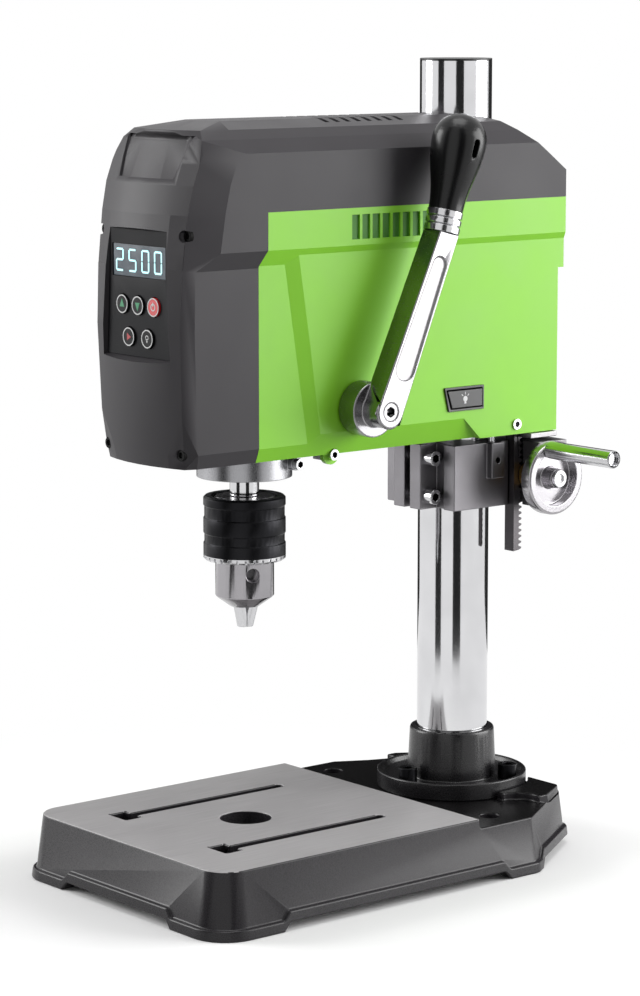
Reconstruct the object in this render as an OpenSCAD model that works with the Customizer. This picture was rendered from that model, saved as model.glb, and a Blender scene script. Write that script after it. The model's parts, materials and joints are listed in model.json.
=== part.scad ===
// Bench drill on a column stand: slotted cast base, chromed column, split clamp
// with a rack-and-crank height drive, and a motor head with a lever-fed quill.
// Origin: where the drill axis meets the table top. +Z up, -Y towards the operator.

/* [Base] */
// Width of the table across the front
table_w = 160; // [140:1:180]
// Reach of the table in front of the drill axis
table_front = 78; // [70:1:90]
// Reach of the table behind the drill axis
table_back = 90.5; // [80:0.5:92]
// Height of the table top above the bench
table_h = 33.7; // [30:0.1:45]
// Thickness of the table
table_t = 9; // [8:0.5:11]
// Wall of the base casting
casting_wall = 5; // [4:0.5:6]
// How far the side walls spread from the table down to the bench
foot_flare = 4.4; // [1:0.1:5]
// How far the foot lip stands out from the wall
lip_out = 2; // [1:0.5:3]
// Height of the foot lip
lip_h = 5.5; // [4:0.5:7]
// Rise of the arches between the feet
arch_rise = 4.4; // [3:0.2:6]
// Radius of the front corners
front_corner_r = 14; // [8:1:20]
// Clearance hole in the table under the drill
table_bore_d = 26.5; // [20:0.5:32]
// Distance between the two table slots
slot_pitch = 84; // [76:1:96]
// Width of a table slot
slot_w = 6; // [5:0.5:8]
// Width of the slot's undercut
slot_under_w = 12; // [10:0.5:14]
// Length of the slot in front of the drill axis
slot_front = 46; // [40:1:52]
// Length of the slot behind the drill axis
slot_back = 58; // [40:1:65]
// Drop from the table to the rear ledge
ledge_drop = 4.7; // [3:0.1:5]
// Diameter of the bench bolt holes
bench_hole_d = 10.5; // [8:0.5:12]
// Distance between the bench bolt holes
bench_hole_pitch = 128; // [120:1:132]
// Bench bolt holes behind the drill axis
bench_hole_y = 112; // [106:1:116]

/* [Column] */
// Drill axis to column axis
throat = 142.5; // [138:0.5:150]
// Column diameter
column_d = 38; // [34:0.5:40]
// Wall of the column tube
column_wall = 3; // [2:0.5:5]
// Column top above the top of the hood
column_top = 28.5; // [11.7:0.1:61.7]
// Diameter of the column flange
flange_d = 80.8; // [76:0.2:86]
// Thickness of the flange disc
flange_t = 9.2; // [7:0.2:12]
// Height of the flange boss above the disc
flange_boss_h = 24; // [18:1:30]
// Pitch circle of the flange screws
flange_pcd = 63; // [62:0.5:66]
// Number of flange screws
flange_screws_n = 3; // [3:1:6]

/* [Clamp and crank] */
// Underside of the clamp below the underside of the covers
clamp_bottom = 39.5; // [30.3:0.2:50.3]
// Height of the clamp
clamp_h = 34.8; // [30:0.2:36]
// Width of the clamp body
clamp_w = 54; // [52:1:58]
// Slit between the two ears
clamp_slit = 4.2; // [2:0.2:5]
// Height from the clamp underside to the crank axis
crank_rise = 16; // [14:0.5:18]
// Crank wheel diameter
wheel_d = 39; // [34:1:44]
// Throw of the crank grip
grip_throw = 16.5; // [14.5:0.5:17]
// Length of the crank grip
grip_l = 47.7; // [35:0.1:60]
// Diameter of the crank grip
grip_d = 9.3; // [8:0.1:11]
// Module of the lift rack
lift_module = 1; // [1:0.1:1.1]
// Teeth on the lift pinion
lift_teeth = 12; // [11:1:14]
// Height travel of the head on its rack
lift_travel = 35; // [20:1:40]

/* [Head] */
// Underside of the covers above the table
head_bottom = 190.3; // [188:0.1:196]
// Seam between the side covers and the hood, above the underside of the covers
head_seam = 124; // [121.7:0.1:127.7]
// Top of the hood above the seam
head_top = 44; // [41.7:0.1:49.7]
// Width of the head across its fascia
head_w = 72; // [70:0.5:76]
// Reach of the fascia in front of the drill axis
head_front = 71; // [68:0.5:76]
// Reach of the head behind the column axis
head_back = 43.5; // [41.5:0.5:51.5]
// Wall of the plastic covers
cover_wall = 2.5; // [2:0.1:3]
// Base plate of the head frame
plate_t = 3; // [3:0.2:4]
// Motor can diameter
motor_d = 52; // [46:1:54]
// Motor axis to column axis
motor_y = 66.5; // [62.5:0.5:68.5]
// Number of vent slots in each side
vents_n = 10; // [6:1:12]
// Distance from one vent slot to the next
vent_pitch = 6.7; // [6:0.1:7]

/* [Feed] */
// Spindle axis to feed shaft axis
feed_y = 44; // [43.5:0.1:45]
// Feed shaft above the underside of the covers
feed_rise = 23; // [22.5:0.1:26]
// Module of the quill rack
feed_module = 1.5; // [1.4:0.05:1.5]
// Teeth on the feed pinion
feed_teeth = 24; // [22:1:25]
// Quill travel
quill_travel = 30; // [20:1:30]
// Feed shaft to the tip of the knob
lever_l = 157; // [140:1:170]
// Lean of the lever behind upright, in degrees
lever_lean = 23.8; // [0:0.1:25]
// Hub of the lever
lever_hub_d = 28; // [24:1:32]
// Knob diameter
knob_d = 28; // [22:0.2:30]
// Knob length
knob_l = 50; // [40:1:60]

/* [Spindle and chuck] */
// Quill diameter
quill_d = 42; // [40:0.5:44]
// Collar under the head, around the quill
nose_d = 48.7; // [47:0.1:52]
// Spindle diameter
spindle_d = 15; // [13:0.5:16]
// Chuck sleeve diameter
chuck_d = 42; // [40:0.5:44]
// Lower body of the chuck
chuck_body_d = 30; // [29:0.5:32]
// Top of the chuck sleeve below the underside of the covers
chuck_top = 21.8; // [18.3:0.1:24.3]
// Height of the chuck sleeve
chuck_sleeve_h = 32.9; // [30:0.1:36]
// Tilt of the jaws, in degrees
jaw_tilt = 14; // [12:0.5:15]
// Diameter of a jaw
jaw_d = 6.6; // [6:0.1:6.8]

/* [Panel] */
// Half width of the panel at its top
panel_top_half = 23.1; // [22.5:0.1:24]
// Half width of the panel at its bottom
panel_bottom_half = 26.8; // [25:0.1:28]
// Height of the panel
panel_h = 62.6; // [60:0.1:64]
// Button diameter
button_d = 9.4; // [8:0.1:10]
// Travel of a button
button_travel = 0.6; // [0.3:0.1:1]
// Spacing of the three upper buttons
button_pitch = 12.8; // [12:0.1:13.5]

/* [Hidden] */

// Smoothness of round parts, and of round children inside a hull
$fn = 96;
hull_fn = 32;
// Overrun of every cut, the common fits, and the small chamfers and steps
cut = 1;
hex_corner_share = 0.577;
fit = 0.05;
run = 0.06;
gap = 0.3;
thin = 0.01;
edge = 1;
// Pressure angle and backlash of the racks and pinions
pressure = 20;
backlash_share = 0.12;

// Levels and places that follow the head and the column
seam_z = head_bottom + head_seam;
hood_top = seam_z + head_top;
column_end = hood_top + column_top;
clamp_z = head_bottom - clamp_bottom;
chuck_z = head_bottom - chuck_top;
back_y = throat + head_back;
motor_at = throat - motor_y;

// Base, worked out from the table
rear_side_ahead = 14.5;
rear_behind = 35.5;
deck_behind = 7.5;
rear_side_y = throat - rear_side_ahead;
rear_y = throat + rear_behind;
rear_w = 96;
rear_corner_r = 3;
deck_w = 124;
deck_y = throat + deck_behind;
deck_lift = 4;
foot_in = 42;
foot_front_l = 34;
foot_back_from = 109;
foot_back_to = 134;
arch_slope = 5;
pocket_w = 15;
pocket_l = 10;
slot_neck = 4;
ledge_z = -ledge_drop;
scallop_r = 12;
pad_r = 38;
pad_depth = 12;
flange_top = ledge_z + flange_t;
flange_rim = 1.9;
flange_dish = 3;
flange_boss_d = 48;
flange_boss_top_d = 45.5;
flange_boss_top = flange_top + flange_boss_h;
flange_screw_d = 6;
flange_head_d = 10;
flange_head_h = 7.8;
flange_screw_grip = 4;
cap_t = 1.2;
cap_plug = 8;

// Clamp, set out from the column axis
clamp_top = clamp_z + clamp_h;
clamp_front = 23.5;
clamp_rear = 15;
ear_front = 33;
ear_out = 10.7;
recess_out = 18.3;
recess_back = 21.5;
pinch_front = 27.5;
pinch_y = throat - pinch_front;
pinch_d = 5;
pinch_head_d = 8;
pinch_head_h = 6.3;
pinch_low = 7;
pinch_high = 27.5;
pinch_z = [clamp_z + pinch_low, clamp_z + pinch_high];
lug_out = 4;
lug_l = 9;
lug_h = 19;
rod_d = 4;
rod_in = 1.5;
rod_behind = 4;
rod_up = 45;
rod_x = clamp_w / 2 - rod_in;
rod_y = throat + rod_behind;
rod_low = clamp_top - lug_h + edge;
rod_top = head_bottom + rod_up;
lug_screw_d = 3;
crank_z = clamp_z + crank_rise;
rack_w = 7;
rack_in = 3;
rack_behind = 15.5;
rack_t = 5;
rack_tip_share = 0.7;
rack_root_share = 1.25;
rack_x = clamp_w / 2 - rack_in;
rack_back_y = throat + rack_behind;
lift_r = lift_module * lift_teeth / 2;
rack_pitch_y = rack_back_y + rack_t;
crank_y = rack_pitch_y + lift_r;
housing_x = 44;
housing_clear = 0.6;
housing_deep = 15;
housing_front = rack_pitch_y + housing_clear;
housing_back = crank_y + housing_deep;
housing_left = 10;
blind_wall = 2;
bush_wall = 1;
bush_r = lift_r + lift_module + bush_wall;
crank_shaft_r = 4;
wheel_clear = 0.6;
wheel_x = housing_x + wheel_clear;
wheel_w = 7.5;
wheel_web = 1.8;
wheel_rim = 4.7;
wheel_hub_r = 6;
wheel_hub_l = 8.6;
wheel_hub_x = wheel_x + wheel_hub_l;
crank_screw_r = 4.5;
crank_screw_h = 2;
grip_angle = 107.7;
grip_y = crank_y + grip_throw * cos(grip_angle);
grip_z = crank_z + grip_throw * sin(grip_angle);
grip_x = wheel_x + wheel_w + gap;
grip_pin_r = 2.5;
grip_head_r = 3.4;
grip_head_h = 2;

// Head
half_w = head_w / 2;
side_out = 1.8;
side_x = half_w + side_out;
band_step = 3.1;
band_x = half_w + band_step;
relief_share = 0.788;
band_share = 0.849;
relief_z = head_bottom + relief_share * head_seam;
band_z = head_bottom + band_share * head_seam;
band_slope = (band_z - relief_z) / band_step;
foot_chamfer = 2.8;
chamfer_slope = 2.5;
chamfer_x = half_w - foot_chamfer;
chamfer_z = head_bottom + chamfer_slope * (side_x - chamfer_x);
chamfer_ahead = 15.3;
chamfer_notch = 11.6;
chamfer_end_y = throat - chamfer_ahead;
fascia_y = -18.9;
fascia_top_y = -15.2;
ridge_low_y = 11.9;
ridge_high_y = -2.5;
ridge_low_up = 7.3;
ridge_w = 15.2;
back_step = 4;
back_step_z = 277;
plate_in = 7;
plate_short = 7;
plate_z = head_bottom;
plate_top = plate_z + plate_t;
plate_half = half_w - plate_in;
plate_back = back_y - plate_short;
tab_x = 40;
tab_behind = 19;
tab_l = 19;
tab_y = [throat + tab_behind, throat + tab_behind + tab_l];
quill_r = quill_d / 2;
quill_house_wall = 5.5;
quill_house_h = 104;
quill_house_r = quill_r + quill_house_wall;
quill_house_top = head_bottom + quill_house_h;
deck_drop = 6;
frame_top = seam_z - deck_drop;
frame_deck_t = 6;
sleeve_wall = 8;
sleeve_r = column_d / 2 + sleeve_wall;
sleeve_top = frame_top - frame_deck_t;
web_half = 4;
web_h = 26;
rod_boss_r = 5.5;
rod_boss_h = 30;
rack_pad_in = 12;
rack_pad_h = 60;
rack_pad_y = rack_back_y + rack_t;
rack_over = 6.5;
rack_bottom = crank_z - lift_travel - rack_over;
rack_screw_d = 2;
rack_screw_head_d = 3.4;
rack_screw_sink = 1.2;
rack_screw_y = rack_back_y + (rack_t - rack_root_share * lift_module) / 2;
nose_h = 12;
nose_z = plate_z - nose_h;
ear_x = 25.5;
ear_r = 3.4;
nose_screw_drop = 4.4;
nose_screw_y = 13.5;
nose_screw_z = plate_z - nose_screw_drop;
small_head_d = 5.8;
small_head_h = 3.2;
side_head_h = 1;
small_screw_d = 3;
tab_screw_y = 30.8;
tab_screw_drop = 0.4;
tab_screw_z = head_bottom - tab_screw_drop;
tab_ear_half = 3.2;
tab_ear_l = 8;
cover_tab_half = 5.2;
cover_tab_t = 2.6;
cover_tab_x = plate_half + gap / 3;
vent_y = 38.4;
vent_w = 5.1;
vent_h = 12.4;
vent_drop = 15.8;
vent_z = seam_z - vent_drop;
rocker_ahead = 27.4;
rocker_up = 22;
rocker_y = throat - rocker_ahead;
rocker_z = head_bottom + rocker_up;
rocker_l = 27.5;
rocker_h = 12.6;
rocker_slant = 3;
rocker_depth = 3;
rocker_proud = 1.6;
rocker_pin_r = 1.2;
rocker_x = side_x - rocker_depth + rocker_pin_r;
bezel_w = 1.2;
bezel_depth = 8;
bezel_floor = 1;
lamp_r = 7;
lamp_y = -44;
lamp_proud = 0.5;
side_screw_behind = 10.4;
side_screw_up = 5.3;
side_screw_y = throat + side_screw_behind;
side_screw_z = head_bottom + side_screw_up;
side_lug_half = 3.5;
gland_thread_r = 6;
gland_nut_r = 8;
gland_nut_t = 3;
gland_head_r = 8.5;
gland_head_t = 5;
gland_cone_r = [7, 5];
gland_cone_l = 7;
gland_bore_r = 3.5;

// Levels of the fascia and hood. Each has its height and the places of its front corner
// and of its side edge, in shares of the covers' height, half width and front reach.
fascia_low_shares = [[0, 0.856, 0.865, 0.922, 0.782], [0.058, 0.889, 0.88, 1, 0.799],
                     [0.199, 0.925, 0.908, 1, 0.811], [0.546, 0.95, 0.93, 1, 0.824],
                     [0.788, 0.961, 0.913, 1, 0.813]];
fascia_high_shares = [[0.849, 0.885, 0.901, 1, 0.63], [1, 0.9, 0.869, 1, 0.587]];
hood_shares = [[0, 0.9, 0.869, 1, 0.587, 0], [0.323, 0.913, 0.825, 1, 0.541, 0],
               [0.555, 0.913, 0.77, 1, 0.482, 0.075], [0.659, 0.91, 0.738, 1, 0.407, 0.11],
               [0.811, 0.82, 0.711, 0.849, 0.42, 0.16], [0.914, 0.69, 0.669, 0.716, 0.437, 0.2],
               [1, 0.332, 0.366, 0.358, 0.36, 0.25]];
front_arc_shares = [-1, -0.7, -0.35, 0, 0.35, 0.7, 1];
front_swell = 5;
hood_ridge_share = 0.659;
hood_ridge = seam_z + hood_ridge_share * head_top;
hood_hole_clear = 1;
hood_hole_r = column_d / 2 + hood_hole_clear;
hood_mark_t = 0.8;
hood_mark_half = [22, 26.5];
hood_mark_up = [17, 37.7];
hood_slot_n = 8;
hood_slot_pitch = 7;
hood_slot_w = 3;
hood_slot_l = 12;
hood_slot_y = 36;

// Panel and its parts, set back in the fascia
panel_up = 53.2;
panel_in = 5.7;
panel_flare = 2;
panel_z = head_bottom + panel_up;
panel_y = panel_in - head_front;
panel_t = 3;
lens_half = 21.7;
lens_h = 15.8;
lens_up = 39.2;
lens_z = panel_z + lens_up;
lens_t = 2;
lens_in = 0.5;
row_1_up = 25.4;
row_2_up = 9.5;
row_1_z = panel_z + row_1_up;
row_2_z = panel_z + row_2_up;
lower_row_share = 0.6;
upper_row = [[-button_pitch, row_1_z], [0, row_1_z], [button_pitch, row_1_z]];
lower_row = [[-button_pitch * lower_row_share, row_2_z], [button_pitch * lower_row_share, row_2_z]];
button_out = 1;
button_depth = 5.5;
board_gap = 1.6;
board_t = 1.6;
board_half = 25;
board_y = panel_y + button_depth + button_travel + board_gap;
board_block_w = 9.6;
board_block_l = 6.4;
fascia_screw_in = [2.2, 6];
fascia_screw_drop = 9.8;
fascia_screw_up = 7.3;
fascia_screw_back = [10, 8];
fascia_screw_head_r = 2.9;
fascia_screw_sink = 2;
fascia_screw_l = 10;

// Drive
motor_r = motor_d / 2;
motor_top = sleeve_top;
motor_l = 60;
motor_end_l = 2.5;
motor_shell = 3;
motor_shaft_r = 4;
pulley_r = 15;
pulley_flange_r = 17;
belt_w = 9;
belt_t = 2.5;
pulley_lift = 5;
pulley_z = frame_top + pulley_lift;
pulley_flange_t = 1.5;
pulley_base = pulley_z - pulley_flange_t - gap;
pulley_top = pulley_z + belt_w + pulley_flange_t + gap;
hub_r = 9;
bearing_r = 14;
bearing_t = 5;
spindle_top_r = 6;
spindle_under_top = 13;
spindle_top = hood_top - spindle_under_top;
taper_l = 18;
spindle_bottom = chuck_z - taper_l;

// Feed
feed_z = head_bottom + feed_rise;
feed_r = feed_module * feed_teeth / 2;
feed_pitch_y = feed_y - feed_r;
feed_shaft_r = 6;
feed_gear_half = 5;
feed_box_half = 9;
feed_box_clear = 2;
feed_box_wall = 2.5;
feed_box_r = feed_r + feed_module + feed_box_clear;
feed_boss_r = 11;
feed_case_in = 10;
feed_case_half = half_w - feed_case_in;
lever_clear = 0.5;
lever_x = side_x + lever_clear;
lever_drum_l = 11.2;
arm_x = lever_x + lever_drum_l;
arm_t = 13.5;
arm_face = arm_x + arm_t;
arm_r = 8.5;
arm_low_half = 8.2;
arm_top_half = 6.3;
collar_l = 11;
collar_r = 9.3;
collar_rings = 3;
collar_groove = 1;
arm_l = lever_l - knob_l - collar_l;
knob_neck_r = 8.8;
knob_bend = 9.3;
knob_slot_half = 3;
knob_slot_h = 3.2;
arm_panel_t = 1;
arm_panel_half = [6, 4.2];
arm_panel_from = 23;
arm_panel_short = 17.2;
lever_screw_r = 4.6;
lever_screw_h = 3;
spring_cap_r = 22;
spring_cap_l = 14;
spring_wall = 2;
spring_w = 8;
spring_turns = 5;
spring_strip = 0.8;

// Quill, spindle and chuck
quill_show = 3;
quill_under = 6;
quill_bottom = nose_z + quill_show;
quill_top = quill_house_top - quill_under;
quill_rack_half = 5;
quill_rack_deep = 5;
quill_rack_seat = quill_r - quill_rack_deep;
quill_slot_half = 6;
quill_tip_share = 0.9;
bearing_outer = 16;
quill_bearing_t = 10;
quill_bore_r = 9;
rack_spare = 10;
feed_pitch_step = PI * feed_module;
lift_pitch_step = PI * lift_module;
chuck_r = chuck_d / 2;
chuck_bottom = chuck_z - chuck_sleeve_h;
chuck_inner_r = 17;
chuck_lip = 2.2;
chuck_body_r = chuck_body_d / 2;
chuck_body_l = 19.6;
chuck_cone_l = 4.6;
chuck_edge_z = chuck_bottom - chuck_body_l;
chuck_nose_z = chuck_edge_z - chuck_cone_l;
chuck_nose_r = 7.6;
drill_bore_r = 3.2;
jaw_show = 10.7;
chuck_tip_z = chuck_nose_z - jaw_show;
chuck_socket_r = 6.5;
key_up = 6.4;
key_z = chuck_bottom - key_up;
key_d = 7;
key_depth = 5;
key_angle = -21.7;
jaw_angle = key_angle + 60;
jaw_l = 34;
jaw_travel = 18;
jaw_off = jaw_d / 8;
sleeve_groove = 0.5;
sleeve_band_shares = [[0.28, 0.41], [0.67, 0.84]];
teeth_n = 30;
tooth_gap = 1;

// Colours as the object shows them
green = "#8cd63c";
dark = "#5a575b";
black = "#232225";
castgrey = "#4c4b4e";
steel = "#c9c9cc";
satin = "#b4b3b5";
brassy = "#b08d4a";

// Cylinder along X, Y or Z between two places
module rod_x(x0, x1, r, y, z) {
    translate([x0, y, z]) rotate([0, 90, 0]) cylinder(h = x1 - x0, r = r);
}
module rod_y(y0, y1, r, x, z) {
    translate([x, y0, z]) rotate([-90, 0, 0]) cylinder(h = y1 - y0, r = r);
}
module rod_z(z0, z1, r, x = 0, y = 0) {
    translate([x, y, z0]) cylinder(h = z1 - z0, r = r);
}
// Box between two corners
module box(x0, x1, y0, y1, z0, z1) {
    translate([x0, y0, z0]) cube([x1 - x0, y1 - y0, z1 - z0]);
}
// Outline in Y and Z, extruded along X
module slab_x(x0, x1, points) {
    translate([x0, 0, 0]) rotate([90, 0, 90]) linear_extrude(x1 - x0) polygon(points);
}
// Outline in X and Z, extruded along Y
module slab_y(y0, y1, points) {
    translate([0, y1, 0]) rotate([90, 0, 0]) linear_extrude(y1 - y0) polygon(points);
}
module both_sides() {
    children();
    mirror([1, 0, 0]) children();
}
// Hexagon socket cut, its mouth at the origin and opening along +Z
module hex_socket(across, depth) {
    translate([0, 0, -depth]) cylinder(h = depth + cut, r = across * hex_corner_share, $fn = 6);
}
// Socket head screw: head on +Z from 0, shank on -Z
module socket_screw(head_r, head_h, shank_r, shank_l) {
    difference() {
        union() {
            cylinder(h = head_h, r = head_r);
            translate([0, 0, -shank_l]) cylinder(h = shank_l, r = shank_r);
        }
        translate([0, 0, head_h]) hex_socket(head_r, head_h / 2);
    }
}

// Involute gear outline
function involute(r, base_r) =
    let (t = sqrt(max(0, pow(r / base_r, 2) - 1))) t * 180 / PI - atan(t);
function flank(r, teeth, m) =
    let (pitch_r = m * teeth / 2, base_r = pitch_r * cos(pressure))
    90 / teeth * (1 - backlash_share) + involute(pitch_r, base_r) - involute(max(r, base_r), base_r);
function gear_radii(teeth, m) =
    let (pitch_r = m * teeth / 2, root_r = pitch_r - rack_root_share * m, tip_r = pitch_r + m)
    [for (s = [0 : 0.2 : 1]) root_r + (tip_r - root_r) * s];
function gear_outline(teeth, m) =
    let (radii = gear_radii(teeth, m), last = len(radii) - 1)
    [for (i = [0 : teeth - 1]) each concat(
        [for (k = [0 : last]) let (a = 360 * i / teeth - flank(radii[k], teeth, m))
            radii[k] * [cos(a), sin(a)]],
        [for (k = [last : -1 : 0]) let (a = 360 * i / teeth + flank(radii[k], teeth, m))
            radii[k] * [cos(a), sin(a)]])];
// Rack outline in Y and Z: teeth on +Y about a pitch line, a gap level with z0
function rack_half(p, m) = PI * m / 4 * (1 - backlash_share) - p * tan(pressure);
function rack_outline(back_y, pitch_y, z0, first, last, m, tip_share) =
    let (step = PI * m, root = -rack_root_share * m, tip = m * tip_share)
    concat([[back_y, z0 + first * step]],
        [for (i = [first : last - 1]) let (z = z0 + (i + 0.5) * step) each [
            [pitch_y + root, z - rack_half(root, m)], [pitch_y + tip, z - rack_half(tip, m)],
            [pitch_y + tip, z + rack_half(tip, m)], [pitch_y + root, z + rack_half(root, m)]]],
        [[back_y, z0 + last * step]]);

// Outer form of the base: tapered walls between a rounded front and a narrowed rear
module base_form(inset) {
    front_r = front_corner_r - inset;
    rear_r = max(rear_corner_r - inset, thin);
    side_x = table_w / 2 - inset - rear_r;
    hull() for (s = [-1, 1]) {
        translate([s * (table_w / 2 - front_corner_r), front_corner_r - table_front, -table_h])
            cylinder(h = table_h, r1 = front_r + foot_flare, r2 = front_r, $fn = hull_fn);
        translate([s * side_x, rear_side_y - inset - rear_r, -table_h])
            cylinder(h = table_h, r1 = rear_r + foot_flare, r2 = rear_r, $fn = hull_fn);
        translate([s * (rear_w / 2 - inset - rear_r), rear_y - inset - rear_r, -table_h])
            cylinder(h = table_h, r1 = rear_r + foot_flare, r2 = rear_r, $fn = hull_fn);
    }
}
// Arches between the four feet, lifted by z
module arches(z) {
    low = z - table_h - cut;
    high = z - table_h + arch_rise;
    reach = table_w;
    slab_y(-reach, 2 * reach, [[-foot_in - arch_slope, low], [-foot_in, high],
                               [foot_in, high], [foot_in + arch_slope, low]]);
    slab_x(-reach, reach, [[foot_front_l - table_front, low],
                           [foot_front_l - table_front + arch_slope, high],
                           [foot_back_from - arch_slope, high], [foot_back_from, low]]);
    slab_x(-reach, reach, [[foot_back_to, low], [foot_back_to + arch_slope, high],
                           [2 * reach, high], [2 * reach, low]]);
}
module foot_lip() {
    intersection() {
        base_form(-lip_out);
        union() {
            box(-table_w, table_w, -table_w, 2 * table_w, -table_h, lip_h - table_h);
            arches(lip_h);
        }
    }
}
// Raised deck behind the column flange, with a scooped wall by each bench bolt
module rear_deck() {
    difference() {
        box(-deck_w / 2, deck_w / 2, deck_y - scallop_r, rear_y - rear_corner_r,
            ledge_z - cut, ledge_z + deck_lift);
        both_sides() rod_z(ledge_z, 0, scallop_r, deck_w / 2 - scallop_r / 3, deck_y - scallop_r);
        rod_z(ledge_z, cut, flange_d / 2 + edge, 0, throat);
    }
}
module table_slot() {
    box(-slot_w / 2, slot_w / 2, -slot_front, slot_back - slot_w / 2, -table_t - cut, cut);
    rod_z(-table_t - cut, cut, slot_w / 2, 0, slot_back - slot_w / 2);
    box(-slot_under_w / 2, slot_under_w / 2, -slot_front, slot_back, -table_t - cut, -slot_neck);
    box(-pocket_w / 2, pocket_w / 2, -slot_front - pocket_l / 2, -slot_front + pocket_l / 2,
        -table_t - cut, cut);
}
module base_casting() color(castgrey) {
    difference() {
        union() {
            difference() {
                base_form(0);
                box(-table_w, table_w, table_back, 2 * table_w, ledge_z, cut);
            }
            intersection() {
                rear_deck();
                translate([0, 0, deck_lift]) base_form(0);
            }
            foot_lip();
        }
        difference() {
            translate([0, 0, -table_t - cut]) base_form(casting_wall);
            box(-table_w, table_w, -table_w, 2 * table_w, -table_t, cut);
            rod_z(ledge_z - pad_depth, 0, pad_r, 0, throat);
        }
        arches(0);
        rod_z(-table_t - cut, cut, table_bore_d / 2);
        for (s = [-1, 1]) {
            translate([s * slot_pitch / 2, 0, 0]) table_slot();
            rod_z(-table_h, 0, bench_hole_d / 2, s * bench_hole_pitch / 2, bench_hole_y);
        }
        at_flange_screws() rod_z(ledge_z - pad_depth, 0, flange_screw_d / 2 + fit);
    }
}
module at_flange_screws() {
    for (i = [0 : flange_screws_n - 1]) translate([0, throat, 0])
        rotate(-90 + 360 * i / flange_screws_n) translate([flange_pcd / 2, 0, 0]) children();
}
module column_flange() color(black) {
    bore = column_d / 2 + fit;
    dish = flange_top - flange_dish;
    difference() {
        translate([0, throat, 0]) rotate_extrude() polygon([
            [bore, ledge_z], [flange_d / 2, ledge_z], [flange_d / 2, flange_top],
            [flange_d / 2 - flange_rim, flange_top], [flange_d / 2 - 2 * flange_rim, dish],
            [flange_boss_d / 2, dish], [flange_boss_top_d / 2, flange_boss_top - flange_rim / 2],
            [flange_boss_top_d / 2 - flange_rim / 2, flange_boss_top], [bore, flange_boss_top]]);
        at_flange_screws() rod_z(ledge_z - cut, flange_top, flange_screw_d / 2 + gap);
    }
}
module flange_screws() color(black) {
    at_flange_screws() translate([0, 0, flange_top - flange_dish])
        socket_screw(flange_head_d / 2, flange_head_h, flange_screw_d / 2, flange_t + flange_screw_grip);
}
module column() color(steel) translate([0, throat, 0]) difference() {
    rod_z(ledge_z, column_end - cap_t, column_d / 2);
    rod_z(ledge_z - cut, column_end, column_d / 2 - column_wall);
}
module column_cap() color(black) translate([0, throat, 0]) {
    rod_z(column_end - cap_t, column_end, column_d / 2);
    rod_z(column_end - cap_t - cap_plug, column_end - cap_t, column_d / 2 - column_wall - fit);
}

// Split clamp: body round the column, two ears in front, crank housing at the rear right
module clamp_block() color(satin) difference() {
    union() {
        box(-clamp_w / 2, clamp_w / 2, throat - clamp_front, throat + clamp_rear,
            clamp_z, clamp_top);
        box(-ear_out, ear_out, throat - ear_front, throat - clamp_front, clamp_z, clamp_top);
        box(clamp_w / 2 - edge, clamp_w / 2 + lug_out, rod_y - lug_l / 2, rod_y + lug_l / 2,
            clamp_top - lug_h, clamp_top);
        box(-clamp_w / 2, rack_x - gap, throat, housing_front, clamp_z, clamp_top);
        box(housing_left, housing_x, housing_front, housing_back, clamp_z, clamp_top);
    }
    rod_z(clamp_z - cut, clamp_top + cut, column_d / 2 + run, 0, throat);
    box(-clamp_slit / 2, clamp_slit / 2, throat - ear_front - cut, throat - column_d / 4,
        clamp_z - cut, clamp_top + cut);
    box(ear_out, recess_out, throat - ear_front - cut, throat - recess_back,
        clamp_z - cut, clamp_top + cut);
    mirror([1, 0, 0]) box(ear_out, recess_out, throat - ear_front - cut, throat - recess_back,
        clamp_z - cut, clamp_top + cut);
    for (z = pinch_z) rod_x(-ear_out - cut, ear_out + cut, pinch_d / 2 + fit, pinch_y, z);
    rod_z(rod_low, clamp_top + cut, rod_d / 2 + fit, rod_x, rod_y);
    rod_x(rod_x, clamp_w / 2 + lug_out + cut, lug_screw_d / 2 + fit, rod_y, clamp_top - lug_h / 2);
    box(rack_x - gap, rack_x + rack_w + gap, rack_back_y - gap, crank_y,
        clamp_z - cut, clamp_top + cut);
    rod_x(rack_x - gap, housing_x + cut, bush_r + fit, crank_y, crank_z);
    rod_x(housing_left + blind_wall, rack_x, crank_shaft_r + run, crank_y, crank_z);
}
module pinch_screws() color(steel) {
    for (z = pinch_z) translate([ear_out, pinch_y, z]) rotate([0, 90, 0])
        socket_screw(pinch_head_d / 2, pinch_head_h, pinch_d / 2, 2 * ear_out - pinch_d / 2);
}
module lug_screw() color(black) {
    face = clamp_w / 2 + lug_out;
    difference() {
        rod_x(rod_x + rod_d / 2 + fit, face, lug_screw_d / 2, rod_y, clamp_top - lug_h / 2);
        translate([face, rod_y, clamp_top - lug_h / 2]) rotate([0, 90, 0])
            hex_socket(lug_screw_d / 2, lug_screw_d / 2);
    }
}
module guide_rod() color(steel) {
    rod_z(rod_low, rod_top, rod_d / 2, rod_x, rod_y);
}
module pinion_bush() color(brassy) difference() {
    rod_x(rack_x + rack_w + gap, housing_x, bush_r, crank_y, crank_z);
    rod_x(rack_x, housing_x + cut, crank_shaft_r + run, crank_y, crank_z);
}

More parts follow.
